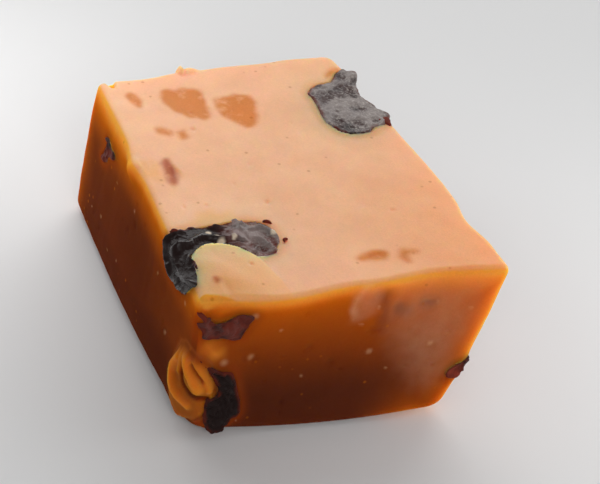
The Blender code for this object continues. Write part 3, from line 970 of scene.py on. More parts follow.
def highest_line(places, lines):
    """The highest of several rounded ridges, each given by its line, height and half width."""
    bumps = [height * bell(from_line(places, line), width) for line, height, width in lines]
    return np.maximum(0.0, np.max(bumps, axis=0))


def raise_nub(flat, relief, masks):
    """Swells the nub round the front left corner, with its ridges and grooves, painted lighter on
    the ridges and darker in the grooves.
    """
    places, behind = along_skin(flat, "front_left")
    apart = np.linalg.norm((places - NUB_MIDDLE) / NUB_REACH, axis=1)
    apart = apart + layered_noise(flat, NUB_RAGGEDNESS)
    body = smooth_step((1.0 - apart) * NUB_STEEPNESS) * (behind < ON_SKIN)
    chosen = np.flatnonzero(body > 0.0)
    ridge = highest_line(places[chosen], NUB_RIDGES)
    groove = highest_line(places[chosen], NUB_GROOVES)
    lumps = layered_noise(flat[chosen], NUB_LUMPS)
    relief[chosen] += body[chosen] * (NUB_BASE + ridge - groove + lumps)
    # Painted highlight and shade: the nub's colour is stronger on its ridges and weaker in its
    # grooves.
    masks["nub"][chosen] = body[chosen] * np.clip(0.4 + 1.2 * ridge - 2.5 * groove, 0.0, 1.0)
    moat = bell(apart - 1.04, 0.06) * (behind < ON_SKIN)
    relief -= MOAT_DEPTH * moat
    # The moat is painted darker as shade.
    add_mask(masks, "pocket", 0.5 * moat)


def swelling(flat):
    """Height of the bumps, dents and broad waves of the block's faces."""
    relief = layered_noise(flat, BROAD_WAVES)
    side = 1.0 - smooth_step((flat[:, 2] - HEIGHT + 0.4) / 0.4)
    relief += layered_noise(flat * KNIFE_DRAG, KNIFE_MARKS) * side
    for face, middle, reach, height in BUMPS:
        places, behind = along_skin(flat, face)
        apart = np.linalg.norm((places - middle) / reach, axis=1)
        relief += height * smooth_step(1.0 - apart) * (behind < BUMP_DEPTH)
    return relief


def random_spots(rng, count, sizes):
    """Spots spread over the faces that can be seen: face, place, radius."""
    spots = []
    faces = ("top", "front", "left", "right", "back")
    for number in range(count):
        face = faces[number % len(faces)]
        across, up, _axis, _sign = FACES[face]
        place = [
            rng.uniform(LOW[axis] + SPOT_MARGIN, HIGH[axis] - SPOT_MARGIN) for axis in (across, up)
        ]
        spots.append((face, place, rng.uniform(*sizes)))
    return spots


def spot_share(flat, spots):
    """1 in the middle of the spots and 0 beyond them."""
    share = np.zeros(len(flat))
    for face, place, radius in spots:
        places, behind = along_skin(flat, face)
        apart = np.linalg.norm(places - np.array(place), axis=1) / (radius * 2.0)
        share = np.maximum(share, smooth_step(1.0 - apart) * (behind < ON_SKIN))
    return share


def colour_patches(flat, masks):
    """Marks the patches of other colour."""
    ragged = layered_noise(flat, PATCH_RAGGEDNESS)
    for mask, face, blend, outline in PATCHES:
        outline = even_outline(outline, count=60)
        distance, near, behind = skin_distance(flat, face, outline, reach=3.0)
        patch = smooth_step(0.5 - (distance + ragged) / (blend + PATCH_BLEND))
        add_mask(masks, mask, patch * near * (behind < ON_SKIN))


def shade_faces(flat, masks):
    """Marks where the faces are pale, warm and shiny, and where painted shade, painted glow and a
    painted tint go.
    """
    x, y, up = flat.T
    down = HEIGHT - up
    inwards = np.minimum(flat - LOW, HIGH - flat)[:, :2].min(axis=1)
    # The top's pale, partly painted-light colour gives way over the edges to the sides' painted
    # shade.
    masks["side"] = rise(down - np.minimum(inwards, LIT_TOP_TURN), *SIDE_START)
    # Painted shade: darker towards the foot, less so to the right, darker on the left face, less so
    # to its front, and on the right face.
    shade_easing = FOOT_SHADE_EASING * rise(x, *SHADE_EASING_TO_RIGHT)
    masks["foot"] = rise(down, *FOOT_SHADE) * (1.0 - shade_easing)
    browner = (x < LOW[0] + ON_FACE) * rise(down, *LEFT_START)
    browner = browner * (1.0 - LEFT_SHADE_EASING * rise(-y, *LEFT_TO_FRONT))
    add_mask(masks, "foot", LEFT_FACE_SHADE * browner)
    add_mask(masks, "foot", RIGHT_FACE_SHADE * ((x > HIGH[0] - ON_FACE) * rise(down, *RIGHT_START)))
    masks["glow"] = edge_glow(flat)
    masks["sheen"] = SHEEN - SHEEN_FALL * (x - LOW[0])
    # The warm band by the right edge is painted glow.
    masks["warm"] = WARM_EDGE_GLOW * np.exp(-(HIGH[0] - x) / WARM_GLOW_BAND)
    add_mask(masks, "warm", WARM_CORNER * (rise(x, *WARM_TO_RIGHT) * rise(-y, *WARM_TO_FRONT)))
    # A redder painted tint along the top's edges, making up for the light lost there.
    add_mask(masks, "ring", RIM_TINT * np.exp(-inwards / RIM_BAND) * (1.0 - masks["side"]))


def block_relief(flat):
    """How far each point of the block's skin stands out, and its masks."""
    rng = np.random.default_rng(SEED)
    names = ("pocket", "ring", "stain", "amber", "bruise", "painted_sheen", "fleck", "nub")
    masks = {name: np.zeros(len(flat)) for name in names}
    relief = swelling(flat)
    relief -= PIT_DEPTH * spot_share(flat, [*PITS, *random_spots(rng, RANDOM_PITS, PIT_SIZES)])
    lip = raise_flap(flat, relief, masks)
    raise_nub(flat, relief, masks)
    cut_pockets(flat, relief, masks)
    cut_groove(flat, relief, masks, lip)
    colour_patches(flat, masks)
    flecks = [*FLECKS, *random_spots(rng, RANDOM_FLECKS, FLECK_SIZES)]
    add_mask(masks, "fleck", spot_share(flat, flecks))
    shade_faces(flat, masks)
    relief *= smooth_step(flat[:, 2])
    return relief, masks


def slice_corner(straight, masks):
    """Moves points beyond the sliced corner's plane back onto it, and marks the cut face for side
    colour and painted glow.
    """
    first, second, third = np.array(SLICED_CORNER)
    normal = np.cross(third - first, second - first)
    normal /= np.linalg.norm(normal)
    beyond = np.maximum((straight - first) @ normal, 0.0)
    add_mask(masks, "side", smooth_step(beyond / SLICE_RIM))
    add_mask(masks, "glow", SLICE_GLOW * smooth_step(beyond / SLICE_FADE))
    return straight - beyond[:, None] * normal


def edge_glow(flat):
    """Painted glow where light shines through the block's thin edges, less so at the front left
    one.
    """
    x, y, up = flat.T
    across = np.minimum(flat - LOW, HIGH - flat)
    front_left = smooth_step(1.0 - np.hypot(x - LOW[0], y - LOW[1]) / NO_GLOW_CORNER)
    right = rise(x, *GLOW_TO_RIGHT) * (1.0 - RIGHT_FACE_GLOW_LOSS * (x > HIGH[0] - ON_FACE))
    behind = rise(y, *GLOW_TO_BACK)
    band = GLOW_BAND + GLOW_BAND_RIGHT * right
    band = band + GLOW_BAND_BACK * rise(y, *BAND_TO_BACK) * (1.0 - right)
    top = np.exp(-(HIGH[2] - up) / band)
    upright = (UPRIGHT_GLOW + UPRIGHT_GLOW_RIGHT * right) * (1.0 - BACK_GLOW_LOSS * behind * right)
    band = GLOW_BAND + UPRIGHT_BAND_RIGHT * right * (1.0 - behind)
    upright = upright * np.exp(-np.maximum(across[:, 0], across[:, 1]) / band) * (1.0 - front_left)
    foot = FOOT_GLOW * np.exp(-up / GLOW_BAND) * rise(x, *FOOT_TO_RIGHT)
    return np.maximum(np.maximum(top, upright), foot)


def make_block(settings):
    """The block of fudge."""
    lines = [grid_lines(low, high, zones) for low, high, zones in zip(LOW, HIGH, GRID_ZONES)]
    flat, quads = box_skin(lines)
    relief, masks = block_relief(flat)
    straight = slice_corner(rounded(flat, settings.edge_radius / MM), masks)
    straight = straight + outward(flat) * relief[:, None]
    material = fudge_material(settings)
    return mesh_piece("fudge", straight, quads.tolist(), material, masks)


# The raisins ----------------------------------------------------------------------------------


def make_cut_raisin(node, material, wrinkle):
    """A raisin that the knife cut through: a creased face, and a lump behind it."""
    raisin = CUT_RAISINS[node]
    outline = raisin_outline(raisin)
    middle = np.array(raisin.middle)
    seed = 11.0 + list(CUT_RAISINS).index(node)
    ragged = noise_at(np.c_[outline, np.zeros(len(outline))], 0.5, seed)
    outline = outline + (outline - middle) * (0.05 * ragged[:, None])
    rings = [(share, 0.0) for share in np.linspace(0.03, 1.0, FACE_RINGS) ** 0.8]
    rings.append((1.0, -RIM_ROUNDING))
    rings += [(share, -RAISIN_DEPTH * deep) for share, deep in RAISIN_LUMP]
    spread = np.repeat([share for share, _out in rings], SPOKES)
    out = np.repeat([out for _share, out in rings], SPOKES)
    places = middle + (np.tile(outline, (len(rings), 1)) - middle) * spread[:, None]
    places = np.concatenate([[middle], places, [middle]])
    out = np.concatenate([[0.0], out, [-RAISIN_DEPTH]])
    on_face = out > -0.01
    from_rim = -edge_distance(places, outline)
    flat_places = np.c_[places, np.zeros(len(places))]
    crest = creases_at(flat_places, raisin.crease, seed)
    face_out = raisin.rise + face_relief(raisin, from_rim, crest, wrinkle)
    face_out += layered_noise(flat_places, ((0.07, 0.45, seed), (0.04, 0.25, seed)))
    lifted = swelling(on_skin(raisin.skin, places, 0.0)) * (raisin.skin != "under")
    out = np.where(on_face, face_out, out + raisin.rise - 0.2) + lifted
    masks = {
        "crest": np.where(on_face, crest, 0.0),
        "rim": np.where(on_face, smooth_step(1.0 - from_rim / 0.4), 1.0),
        "dry": raisin.dry * np.clip(0.85 + 0.5 * noise_at(flat_places, 1.6, seed + 1.0), 0.0, 1.0),
        "flesh": np.full(len(places), raisin.flesh),
        "crumb": np.zeros(len(places)),
        "gloss": np.full(len(places), 1.0 if raisin.skin == "top" else SIDE_GLOSS),
    }
    straight = on_skin(raisin.skin, places, out)
    faces = ring_faces(len(rings), SPOKES)
    if not faces_outwards(raisin.skin):
        faces = [polygon[::-1] for polygon in faces]
    return mesh_piece(f"cut_{node}", straight, faces, material, masks)


def face_relief(raisin, from_rim, crest, wrinkle):
    """How far the creases of a cut raisin stand out. They are flatter near its low rim."""
    fuller = 1.0 + FULL_WRINKLE * max(raisin.rise - 0.1, 0.0)
    depth = wrinkle * (DRY_WRINKLE if raisin.dry > 0.6 else fuller)
    flatter = 1.0 - RIM_FLATNESS * smooth_step(1.0 - from_rim / FLAT_RIM)
    drop = RIM_DROP * (1.0 - smooth_step(from_rim / LOW_RIM)) ** 2
    return depth * (crest - 0.6) * flatter - (drop - FACE_RISE)


def make_bent_raisin(material, wrinkle):
    """The raisin that bends over an edge: a long lump with folds along its length."""
    outer, inner, reached = curl_sides(CURL_STEPS + 2)
    from_end = np.minimum(reached, reached[-1] - reached)[1:-1, None]
    closing = np.sqrt(1.0 - (1.0 - np.clip(from_end / CURL_CAP, 0.0, 1.0)) ** 2)
    turn = np.linspace(0.0, math.tau, CURL_SPOKES, endpoint=False)[None]
    aside = np.sign(np.cos(turn)) * np.abs(np.cos(turn)) ** 0.6
    aside = aside * np.ones_like(closing)
    middles = (outer + inner) / 2.0
    along = np.c_[reached, np.zeros((len(reached), 2))][1:-1]
    ragged = [
        1.0 + much * (noise_at(along, 0.9, seed) + 0.7 * noise_at(along, 0.33, seed))
        for much, seed in CURL_RAGGEDNESS
    ]
    ragged = np.where(aside > 0.0, ragged[0][:, None], ragged[1][:, None])
    half = ((outer - inner) / 2.0)[1:-1, None, :] * ragged[..., None]
    places = middles[1:-1, None, :] + half * aside[..., None]
    sideways = aside * np.linalg.norm(half, axis=2)
    travelled = reached[1:-1, None] * np.ones_like(aside)
    flat_places = np.c_[places.reshape(-1, 2), np.zeros(aside.size)]
    height, crest = curl_folds(flat_places, sideways.ravel(), travelled.ravel(), wrinkle)
    sine = np.sin(turn) * np.ones_like(closing)
    upper = (CURL_RISE + height.reshape(sine.shape)) * np.abs(sine) ** 0.5
    lower = -CURL_DEPTH * np.abs(sine) ** 0.8
    out = np.where(sine > 0.0, upper, lower) * closing - CURL_SINK
    places = np.concatenate([middles[:1], places.reshape(-1, 2), middles[-1:]])
    out = np.concatenate([[-CURL_SINK], out.ravel(), [-CURL_SINK]])
    straight = on_skin(CURL_SKIN, places, out)
    rim = smooth_step((np.abs(aside) - 0.8) / 0.2).ravel()
    crumb = np.zeros(len(places))
    for middle, radius in CRUMBS:
        apart = np.linalg.norm(places - np.array(middle), axis=1)
        crumb = np.maximum(crumb, smooth_step(1.6 - apart / radius))
    masks = {
        "crest": np.concatenate([[0.0], crest, [0.0]]),
        "rim": np.concatenate([[1.0], rim, [1.0]]),
        "dry": dryness_along(straight),
        "flesh": 0.5 * smooth_step((places[:, 0] - 3.5) / 2.0),
        "crumb": crumb,
        "gloss": np.ones(len(straight)),
    }
    faces = ring_faces(CURL_STEPS, CURL_SPOKES)
    return mesh_piece("bent_raisin_curl", straight, faces, material, masks)


def curl_folds(flat_places, sideways, travelled, wrinkle):
    """Height of the bent raisin's folds, and 0 in their valleys to 1 on their crests."""
    drift = 0.5 * noise_at(flat_places, 2.6, 41.0) + 0.12 * noise_at(flat_places, 0.9, 48.0)
    folds = 1.0 - np.abs(np.sin(math.pi * (sideways / CURL_FOLD + drift + 0.1)))
    strength = 0.8 + 0.6 * noise_at(flat_places, 2.0, 42.0)
    lumps = creases_at(flat_places, 2.3, 43.0)
    at_wide_end = smooth_step((5.2 - travelled) / 2.0)
    crest = folds**1.4 * strength * (1.0 - 0.8 * at_wide_end) + lumps * at_wide_end
    fine = creases_at(flat_places, 0.55, 44.0)
    height = CURL_FOLD_DEPTH * wrinkle * (crest - 0.4) + CURL_GRAIN * (fine - 0.4)
    height += CURL_LUMPS * noise_at(flat_places, 1.6, 45.0)
    return height, np.clip(0.9 * crest + 0.1 * fine, 0.0, 1.0)


def dryness_along(points):
    """Raisin skin is dull and dry where the knife crossed it, towards the middle of the top."""
    return rise(points[:, 0], *CURL_DRYING) * (points[:, 0] < 0.0) * CURL_DRYNESS


def make_skin_bits(material):
    """Bits of raisin skin that the knife dragged along, as one joined mesh."""
    sides, rows = 14, 7
    points, faces = [], []
    for number, (face, middle, length, width, turn) in enumerate(SKIN_BITS):
        angle = math.radians(turn)
        lift = np.linspace(-math.pi / 2, math.pi / 2, rows + 2)[1:-1]
        around = np.linspace(0.0, math.tau, sides, endpoint=False)
        flat_x = (np.cos(lift)[:, None] * np.cos(around)).ravel() * length / 2
        flat_y = (np.cos(lift)[:, None] * np.sin(around)).ravel() * width / 2
        high = np.repeat(np.sin(lift), sides) * BIT_THICKNESS
        flat_x = np.concatenate([[0.0], flat_x, [0.0]])
        flat_y = np.concatenate([[0.0], flat_y, [0.0]])
        high = np.concatenate([[-BIT_THICKNESS], high, [BIT_THICKNESS]])
        bend = 0.25 * width * np.cos(flat_x / length * 5.0)
        shape = np.c_[flat_x, flat_y + bend, high]
        shape *= 1.0 + 0.35 * noise_at(shape, 0.35, 50.0 + number)[:, None]
        along = np.c_[
            middle[0] + shape[:, 0] * math.cos(angle) - shape[:, 1] * math.sin(angle),
            middle[1] + shape[:, 0] * math.sin(angle) + shape[:, 1] * math.cos(angle),
        ]
        start = sum(len(part) for part in points)
        for polygon in ring_faces(rows, sides):
            numbers = [index + start for index in polygon]
            faces.append(numbers if faces_outwards(face) else numbers[::-1])
        points.append(on_skin(face, along, shape[:, 2] + BIT_RISE))
    points = np.concatenate(points)
    masks = {
        "crest": np.full(len(points), 0.5),
        "rim": np.full(len(points), 0.7),
        "dry": np.zeros(len(points)),
        "flesh": np.full(len(points), 0.9),
        "crumb": np.zeros(len(points)),
        "gloss": np.full(len(points), SIDE_GLOSS),
    }
    return mesh_piece("skin_bits", points, faces, material, masks)


# Finishes -------------------------------------------------------------------------------------


class Nodes:
    """Adds nodes to one node tree and links their inputs."""

    def __init__(self, tree):
        self.tree = tree
        tree.nodes.clear()

    def add(self, kind, inputs=None, **settings):
        """A node with these settings. An input's value is a number, a colour or a socket."""
        made = self.tree.nodes.new(kind)
        for name, value in settings.items():
            setattr(made, name, value)
        for name, value in (inputs or {}).items():
            if isinstance(value, bpy.types.NodeSocket):
                self.tree.links.new(value, made.inputs[name])
            else:
                made.inputs[name].default_value = value
        return made

    def math(self, operation, *values):
        """The result of one sum."""
        made = self.add("ShaderNodeMath", dict(enumerate(values)), operation=operation)
        return made.outputs[0]

    def times(self, first, second):
        """The product of two values."""
        return self.math("MULTIPLY", first, second)

    def mask(self, name):
        """A mask that the mesh carries."""
        return self.add("ShaderNodeAttribute", attribute_name=name).outputs["Fac"]

    def blend(self, share, first, second):
        """The first colour, changing to the second one as the share rises."""
        made = self.add("ShaderNodeMix", {0: share, 6: first, 7: second}, data_type="RGBA")
        return made.outputs[2]

    def cover(self, colour, share, layer, strength=1.0):
        """A colour with a layer of another over it, at most as strong as `strength`."""
        if strength < 1.0:
            share = self.times(share, strength)
        return self.blend(share, colour, opaque(layer))

    def ramp(self, value, low, high):
        """0 where a value is at `low`, 1 where it is at `high`, even between them."""
        made = self.add(
            "ShaderNodeMapRange",
            {"Value": value, "From Min": low, "From Max": high},
            interpolation_type="SMOOTHSTEP",
        )
        return made.outputs["Result"]

    def spread(self, mottle, least, most):
        """Soft noise, spread over the range from `least` to `most`."""
        low, high = NOISE_RANGE
        ends = {"From Min": low, "From Max": high, "To Min": least, "To Max": most}
        return self.add("ShaderNodeMapRange", {"Value": mottle, **ends}).outputs["Result"]

    def bump(self, height, strength, depth):
        """The normal of a fine relief, `depth` millimetres deep."""
        made = self.add(
            "ShaderNodeBump", {"Height": height, "Strength": strength, "Distance": depth * MM}
        )
        return made.outputs["Normal"]


def opaque(colour):
    """A colour with full alpha."""
    return (*colour, 1.0)


def new_group(name, inputs, outputs):
    """An empty shader node group with float sockets. Returns it with its input and output."""
    tree = bpy.data.node_groups.new(name, "ShaderNodeTree")
    nodes = Nodes(tree)
    for socket, default in inputs.items():
        made = tree.interface.new_socket(socket, in_out="INPUT", socket_type="NodeSocketFloat")
        made.default_value = default
    for socket in outputs:
        tree.interface.new_socket(socket, in_out="OUTPUT", socket_type="NodeSocketFloat")
    return tree, nodes, nodes.add("NodeGroupInput"), nodes.add("NodeGroupOutput")


def mottle_group():
    """Soft blotches of a given length in millimetres."""
    name = "soft_blotches"
    if name in bpy.data.node_groups:
        return bpy.data.node_groups[name]
    inputs = {"Length": 3.0, "Detail": 3.0}
    tree, nodes, given, result = new_group(name, inputs, ("Value",))
    place = nodes.add("ShaderNodeTexCoord").outputs["Object"]
    scale = nodes.math("DIVIDE", 1.0 / MM, given.outputs["Length"])
    made = nodes.add(
        "ShaderNodeTexNoise",
        {"Vector": place, "Scale": scale, "Detail": given.outputs["Detail"], "Roughness": 0.55},
    )
    tree.links.new(made.outputs[0], result.inputs["Value"])
    return tree


def grain_group():
    """Fine grains of a given size in millimetres: their height, and rare specks among them."""
    name = "fine_grain"
    if name in bpy.data.node_groups:
        return bpy.data.node_groups[name]
    inputs = {"Size": 0.2, "Speck Size": 0.8}
    tree, nodes, given, result = new_group(name, inputs, ("Height", "Specks"))
    place = nodes.add("ShaderNodeTexCoord").outputs["Object"]
    scale = nodes.math("DIVIDE", 1.0 / MM, given.outputs["Size"])
    grain = nodes.add(
        "ShaderNodeTexNoise", {"Vector": place, "Scale": scale, "Detail": 4.0, "Roughness": 0.65}
    )
    speck_scale = nodes.math("DIVIDE", 1.0 / MM, given.outputs["Speck Size"])
    cells = nodes.add("ShaderNodeTexVoronoi", {"Vector": place, "Scale": speck_scale})
    chosen = nodes.add("ShaderNodeSeparateColor", {"Color": cells.outputs["Color"]})
    rare = nodes.ramp(chosen.outputs[0], *SPECK_RARITY)
    size = nodes.ramp(cells.outputs["Distance"], *SPECK_RIM)
    tree.links.new(grain.outputs[0], result.inputs["Height"])
    tree.links.new(nodes.times(rare, size), result.inputs["Specks"])
    return tree


def use_group(nodes, group, **inputs):
    """The outputs of a node group placed in a material, with its own values."""
    made = nodes.add("ShaderNodeGroup", node_tree=group)
    for name, value in inputs.items():
        made.inputs[name.replace("_", " ").title()].default_value = value
    return made.outputs


def finish_shader(nodes, colour, roughness, normal, constants, coat=None):
    """A Principled shader whose constants are set on its own sockets, and the output."""
    shader = nodes.add(
        "ShaderNodeBsdfPrincipled",
        {"Base Color": colour, "Roughness": roughness, "Normal": normal, **constants},
    )
    if coat is not None:
        nodes.tree.links.new(coat, shader.inputs["Coat Weight"])
    nodes.add("ShaderNodeOutputMaterial", {"Surface": shader.outputs["BSDF"]})
    return shader


def fudge_material(settings):
    """Caramel fudge: top paler with painted light and sheen, sides darker with painted shade, clear
    enough to glow.
    """
    material = bpy.data.materials.new("caramel_fudge")
    material.use_nodes = True
    nodes = Nodes(material.node_tree)
    blotches = use_group(nodes, mottle_group(), length=4.5)["Value"]
    clouds = use_group(nodes, mottle_group(), length=1.1)["Value"]
    grain = use_group(nodes, grain_group(), size=0.16, speck_size=1.0)
    patch = {
        name: nodes.times(nodes.mask(name), nodes.ramp(clouds, low, high))
        for name, (low, high) in PATCH_CLOUDS.items()
    }

    glow = nodes.mask("glow")
    on_side = nodes.mask("side")
    ring = nodes.math("POWER", nodes.mask("ring"), 1.5)
    nub = nodes.times(nodes.mask("nub"), 0.85)
    # Painted shade on the side faces, darker towards the foot.
    side = nodes.cover(opaque(settings.shaded_side_colour), nodes.mask("foot"), settings.foot_shade_colour)
    # Painted glow along the edges of the side faces.
    side = nodes.cover(side, glow, settings.edge_glow_colour)
    side = nodes.cover(side, nodes.ramp(glow, *RIM_GLOW), settings.rim_glow_colour)
    # Painted tint round raisins: darker on the sides as shade, and redder on the top for lost
    # light.
    side = nodes.cover(side, ring, settings.side_ring_shade_colour, 0.6)
    # The warm band by the top's right edge is painted glow.
    top = nodes.cover(opaque(settings.lit_top_colour), nodes.mask("warm"), settings.warm_colour)
    top = nodes.cover(top, ring, settings.ring_light_colour, 0.8)
    top = nodes.cover(top, nodes.mask("flap"), settings.flap_colour)
    # The pale top is partly painted light and sheen, and the darker sides are painted shade.
    colour = nodes.blend(on_side, top, side)
    colour = nodes.cover(colour, patch["amber"], settings.amber_colour)
    colour = nodes.cover(colour, patch["stain"], settings.stain_colour)
    bruise = nodes.blend(
        on_side, opaque(settings.bruise_colour), opaque(settings.side_bruise_colour)
    )
    colour = nodes.blend(nodes.times(patch["bruise"], 0.8), colour, bruise)
    # Painted greyish sheen on the scuffed front.
    colour = nodes.cover(colour, patch["painted_sheen"], settings.painted_sheen_colour, 0.33)
    colour = nodes.cover(colour, nub, settings.nub_colour)
    colour = nodes.cover(colour, grain["Specks"], settings.speck_colour, 0.45)
    colour = nodes.cover(colour, nodes.mask("fleck"), settings.fleck_colour, 0.25)
    # Painted shade in the raisins' pockets and the nub's moat.
    colour = nodes.cover(colour, nodes.mask("pocket"), settings.pocket_shade_colour)
    uneven = nodes.spread(blotches, 0.93, 1.06)
    shade = nodes.times(uneven, nodes.spread(grain["Height"], 0.95, 1.04))
    shaded = nodes.add("ShaderNodeHueSaturation", {"Color": colour, "Value": shade})

    dull = nodes.times(nodes.math("ADD", nodes.mask("amber"), nodes.mask("bruise")), 0.5)
    sheen = nodes.math("SUBTRACT", nodes.mask("sheen"), dull)
    sheen = nodes.times(nodes.math("SUBTRACT", 1.0, on_side), sheen)
    sheen = nodes.math("ADD", sheen, nodes.times(patch["painted_sheen"], 0.5))
    sheen = nodes.math("ADD", sheen, nodes.times(nub, 0.3))
    finish_shader(
        nodes, shaded.outputs["Color"], nodes.spread(clouds, 0.36, 0.5),
        nodes.bump(grain["Height"], 0.4, 0.05),
        {
            "Subsurface Weight": 1.0,
            "Subsurface Radius": (1.0, 0.4, 0.1),
            "Subsurface Scale": settings.glow_depth,
            "IOR": 1.48,
            "Specular IOR Level": 0.0,
            "Coat Roughness": 0.42,
            "Coat IOR": 1.5,
        },
        coat=sheen,
    )
    return material


def raisin_material(settings):
    """Raisin skin: near black and moist, red at thin rims, greyer where it is cut and dry, partly
    as painted sheen.
    """
    name = "raisin_skin"
    if name in bpy.data.materials:
        return bpy.data.materials[name]
    material = bpy.data.materials.new(name)
    material.use_nodes = True
    nodes = Nodes(material.node_tree)
    blotches = use_group(nodes, mottle_group(), length=1.4)["Value"]
    grain = use_group(nodes, grain_group(), size=0.22, speck_size=0.5)["Height"]
    crest, dry, gloss = nodes.mask("crest"), nodes.mask("dry"), nodes.mask("gloss")
    flesh = nodes.times(nodes.mask("flesh"), nodes.ramp(blotches, 0.25, 0.62))
    # Dryness and painted sheen: the dry crests are lighter and greyer.
    dust_and_sheen = nodes.times(dry, nodes.ramp(nodes.math("ADD", crest, grain), 0.45, 1.05))
    chalky = nodes.times(nodes.math("POWER", dry, 3.0), nodes.ramp(grain, 0.5, 0.68))
    thin = nodes.times(nodes.mask("rim"), nodes.ramp(blotches, 0.35, 0.6))
    colour = opaque(settings.raisin_colour)
    colour = nodes.cover(colour, flesh, settings.raisin_flesh_colour)
    colour = nodes.cover(colour, dust_and_sheen, settings.raisin_dry_sheen_colour)
    colour = nodes.cover(colour, chalky, settings.chalk_colour, 0.6)
    colour = nodes.cover(colour, thin, settings.raisin_rim_colour)
    colour = nodes.cover(colour, nodes.mask("crumb"), settings.crumb_colour)

    rough = nodes.math("ADD", nodes.times(dry, 0.2), 0.6)
    rough = nodes.math("SUBTRACT", rough, nodes.times(gloss, 0.34))
    raised = nodes.ramp(nodes.math("ADD", crest, nodes.times(dry, 0.6)), 0.15, 0.7)
    moist = nodes.times(nodes.math("SUBTRACT", 0.55, nodes.times(dry, 0.45)), gloss)
    finish_shader(
        nodes, colour, rough, nodes.bump(grain, 0.5, 0.08),
        {"IOR": 1.5, "Specular IOR Level": 0.08, "Coat Roughness": 0.25, "Coat IOR": 1.5},
        coat=nodes.times(moist, nodes.math("ADD", raised, 0.2)),
    )
    return material


def floor_material(settings):
    """Matte pale paper with a faint tooth."""
    material = bpy.data.materials.new("studio_paper")
    material.use_nodes = True
    nodes = Nodes(material.node_tree)
    tooth = use_group(nodes, mottle_group(), length=0.6)["Value"]
    paper = nodes.bump(tooth, 0.05, 0.02)
    colour = opaque(settings.floor_colour)
    finish_shader(nodes, colour, 0.85, paper, {"Specular IOR Level": 0.2})
    return material


# The stage ------------------------------------------------------------------------------------


def add_softbox(name, way, distance, size, radiance, shape_ratio=0.75):
    """A rectangular softbox in a direction from the block, facing it."""
    data = bpy.data.lights.new(name, "AREA")
    data.shape = "RECTANGLE"
    data.size = size
    data.size_y = size * shape_ratio
    data.energy = radiance * math.pi * data.size * data.size_y
    lamp = bpy.data.objects.new(name, data)
    lamp.visible_camera = False
    way = Vector(way).normalized()
    lamp.location = way * distance
    lamp.rotation_euler = way.to_track_quat("Z", "Y").to_euler()
    bpy.context.scene.collection.objects.link(lamp)


def make_stage(settings):
    """The floor, the room's light, the softboxes and the camera."""
    sides = ((-1.0, -1.0), (1.0, -1.0), (1.0, 1.0), (-1.0, 1.0))
    points = [(FLOOR_REACH * x, FLOOR_REACH * y, 0.0) for x, y in sides]
    mesh = bpy.data.meshes.new("studio_floor")
    mesh.from_pydata(points, [], [(0, 1, 2, 3)])
    mesh.materials.append(floor_material(settings))
    floor = bpy.data.objects.new("studio_floor", mesh)
    bpy.context.scene.collection.objects.link(floor)

    mirrored = (-CAMERA_BACK[0], -CAMERA_BACK[1], CAMERA_BACK[2])
    add_softbox("softbox_back", mirrored, 0.36, 0.36, settings.softbox_radiance)
    for softbox in SOFTBOXES:
        add_softbox(*softbox)

    world = bpy.data.worlds.new("studio_room")
    world.use_nodes = True
    nodes = Nodes(world.node_tree)
    seen = nodes.add("ShaderNodeLightPath").outputs["Is Camera Ray"]
    strength = nodes.add(
        "ShaderNodeMapRange", {"Value": seen, "To Min": settings.world_radiance, "To Max": BACKDROP}
    ).outputs["Result"]
    white = opaque((1.0, 1.0, 1.0))
    background = nodes.add("ShaderNodeBackground", {"Color": white, "Strength": strength})
    nodes.add("ShaderNodeOutputWorld", {"Surface": background.outputs[0]})
    bpy.context.scene.world = world
    bpy.context.scene.view_settings.view_transform = "Standard"

    lens = bpy.data.cameras.new("camera")
    lens.lens = LENS_LENGTH
    lens.sensor_width = 36.0
    lens.clip_start = 0.01
    camera = bpy.data.objects.new("camera", lens)
    axes = Matrix((CAMERA_RIGHT, CAMERA_UP, CAMERA_BACK)).transposed()
    place = (Vector(CAMERA_PLACE) + Vector(CENTRING)) * MM
    camera.matrix_world = Matrix.Translation(place) @ axes.to_4x4()
    bpy.context.scene.collection.objects.link(camera)
    bpy.context.scene.camera = camera


def centring():
    """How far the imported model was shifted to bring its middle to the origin."""
    low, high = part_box("fudge_block")
    packed = np.array((low.x + high.x, low.y + high.y)) / 2 / MM
    lines = [grid_lines(start, end, ((end, 0.8),)) for start, end in zip(LOW, HIGH)]
    skin = crooked(rounded(box_skin(lines)[0], 0.45))
    middle = (skin.min(axis=0) + skin.max(axis=0)) / 2.0
    return np.array((*(packed - middle[:2]), 0.0))


CENTRING = centring()


# Operators ------------------------------------------------------------------------------------


class FUDGE_OT_block(bpy.types.Operator):
    """Makes the block of fudge"""

    bl_idname = "fudge.block"
    bl_label = "Fudge Block"

    def execute(self, context):
        place_piece(make_block(context.scene.fudge), "fudge", "fudge_block")
        return {"FINISHED"}


class FUDGE_OT_cut_raisins(bpy.types.Operator):
    """Makes the raisins that the knife cut through"""

    bl_idname = "fudge.cut_raisins"
    bl_label = "Cut Raisins"

    def execute(self, context):
        settings = context.scene.fudge
        material = raisin_material(settings)
        for node in CUT_RAISINS:
            piece = make_cut_raisin(node, material, settings.wrinkle_depth / MM)
            place_piece(piece, "raisin", node)
        return {"FINISHED"}


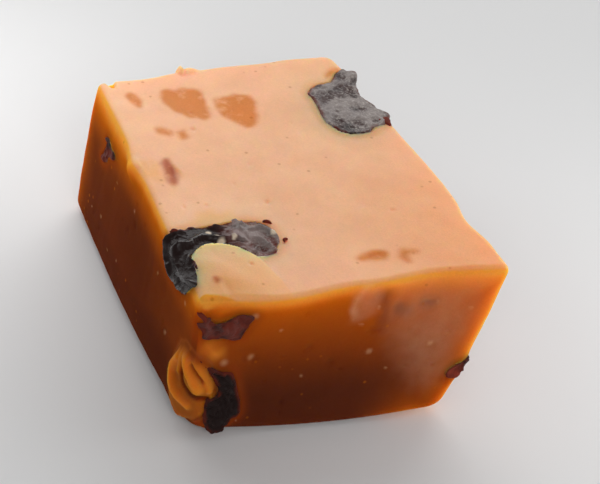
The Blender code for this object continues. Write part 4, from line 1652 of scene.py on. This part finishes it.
class FUDGE_OT_bent_raisin(bpy.types.Operator):
    """Makes the raisin that bends over the left edge"""

    bl_idname = "fudge.bent_raisin"
    bl_label = "Bent Raisin"

    def execute(self, context):
        settings = context.scene.fudge
        piece = make_bent_raisin(raisin_material(settings), settings.wrinkle_depth / MM)
        place_piece(piece, "raisin", "raisin_curl")
        return {"FINISHED"}


class FUDGE_OT_skin_bits(bpy.types.Operator):
    """Makes the loose bits of raisin skin"""

    bl_idname = "fudge.skin_bits"
    bl_label = "Skin Bits"

    def execute(self, context):
        place_piece(make_skin_bits(raisin_material(context.scene.fudge)), "raisin")
        return {"FINISHED"}


class FUDGE_OT_stage(bpy.types.Operator):
    """Sets up the floor, the lights and the camera"""

    bl_idname = "fudge.stage"
    bl_label = "Stage"

    def execute(self, context):
        make_stage(context.scene.fudge)
        return {"FINISHED"}


OPERATORS = (
    FUDGE_OT_block,
    FUDGE_OT_cut_raisins,
    FUDGE_OT_bent_raisin,
    FUDGE_OT_skin_bits,
    FUDGE_OT_stage,
)


class FUDGE_PT_panel(bpy.types.Panel):
    """Sizes and colours of the fudge, and what makes its pieces"""

    bl_idname = "FUDGE_PT_panel"
    bl_label = "Raisin Fudge"
    bl_space_type = "VIEW_3D"
    bl_region_type = "UI"
    bl_category = "Fudge"

    def draw(self, context):
        column = self.layout.column()
        for name in FudgeSettings.__annotations__:
            column.prop(context.scene.fudge, name)
        for operator in OPERATORS:
            column.operator(operator.bl_idname)


def register():
    for part in (FudgeSettings, *OPERATORS, FUDGE_PT_panel):
        bpy.utils.register_class(part)
    bpy.types.Scene.fudge = PointerProperty(type=FudgeSettings)


def unregister():
    del bpy.types.Scene.fudge
    for part in (FUDGE_PT_panel, *reversed(OPERATORS), FudgeSettings):
        bpy.utils.unregister_class(part)


def main():
    register()
    bpy.ops.fudge.block()
    bpy.ops.fudge.cut_raisins()
    bpy.ops.fudge.bent_raisin()
    bpy.ops.fudge.skin_bits()
    bpy.ops.fudge.stage()


if __name__ == "__main__":
    main()
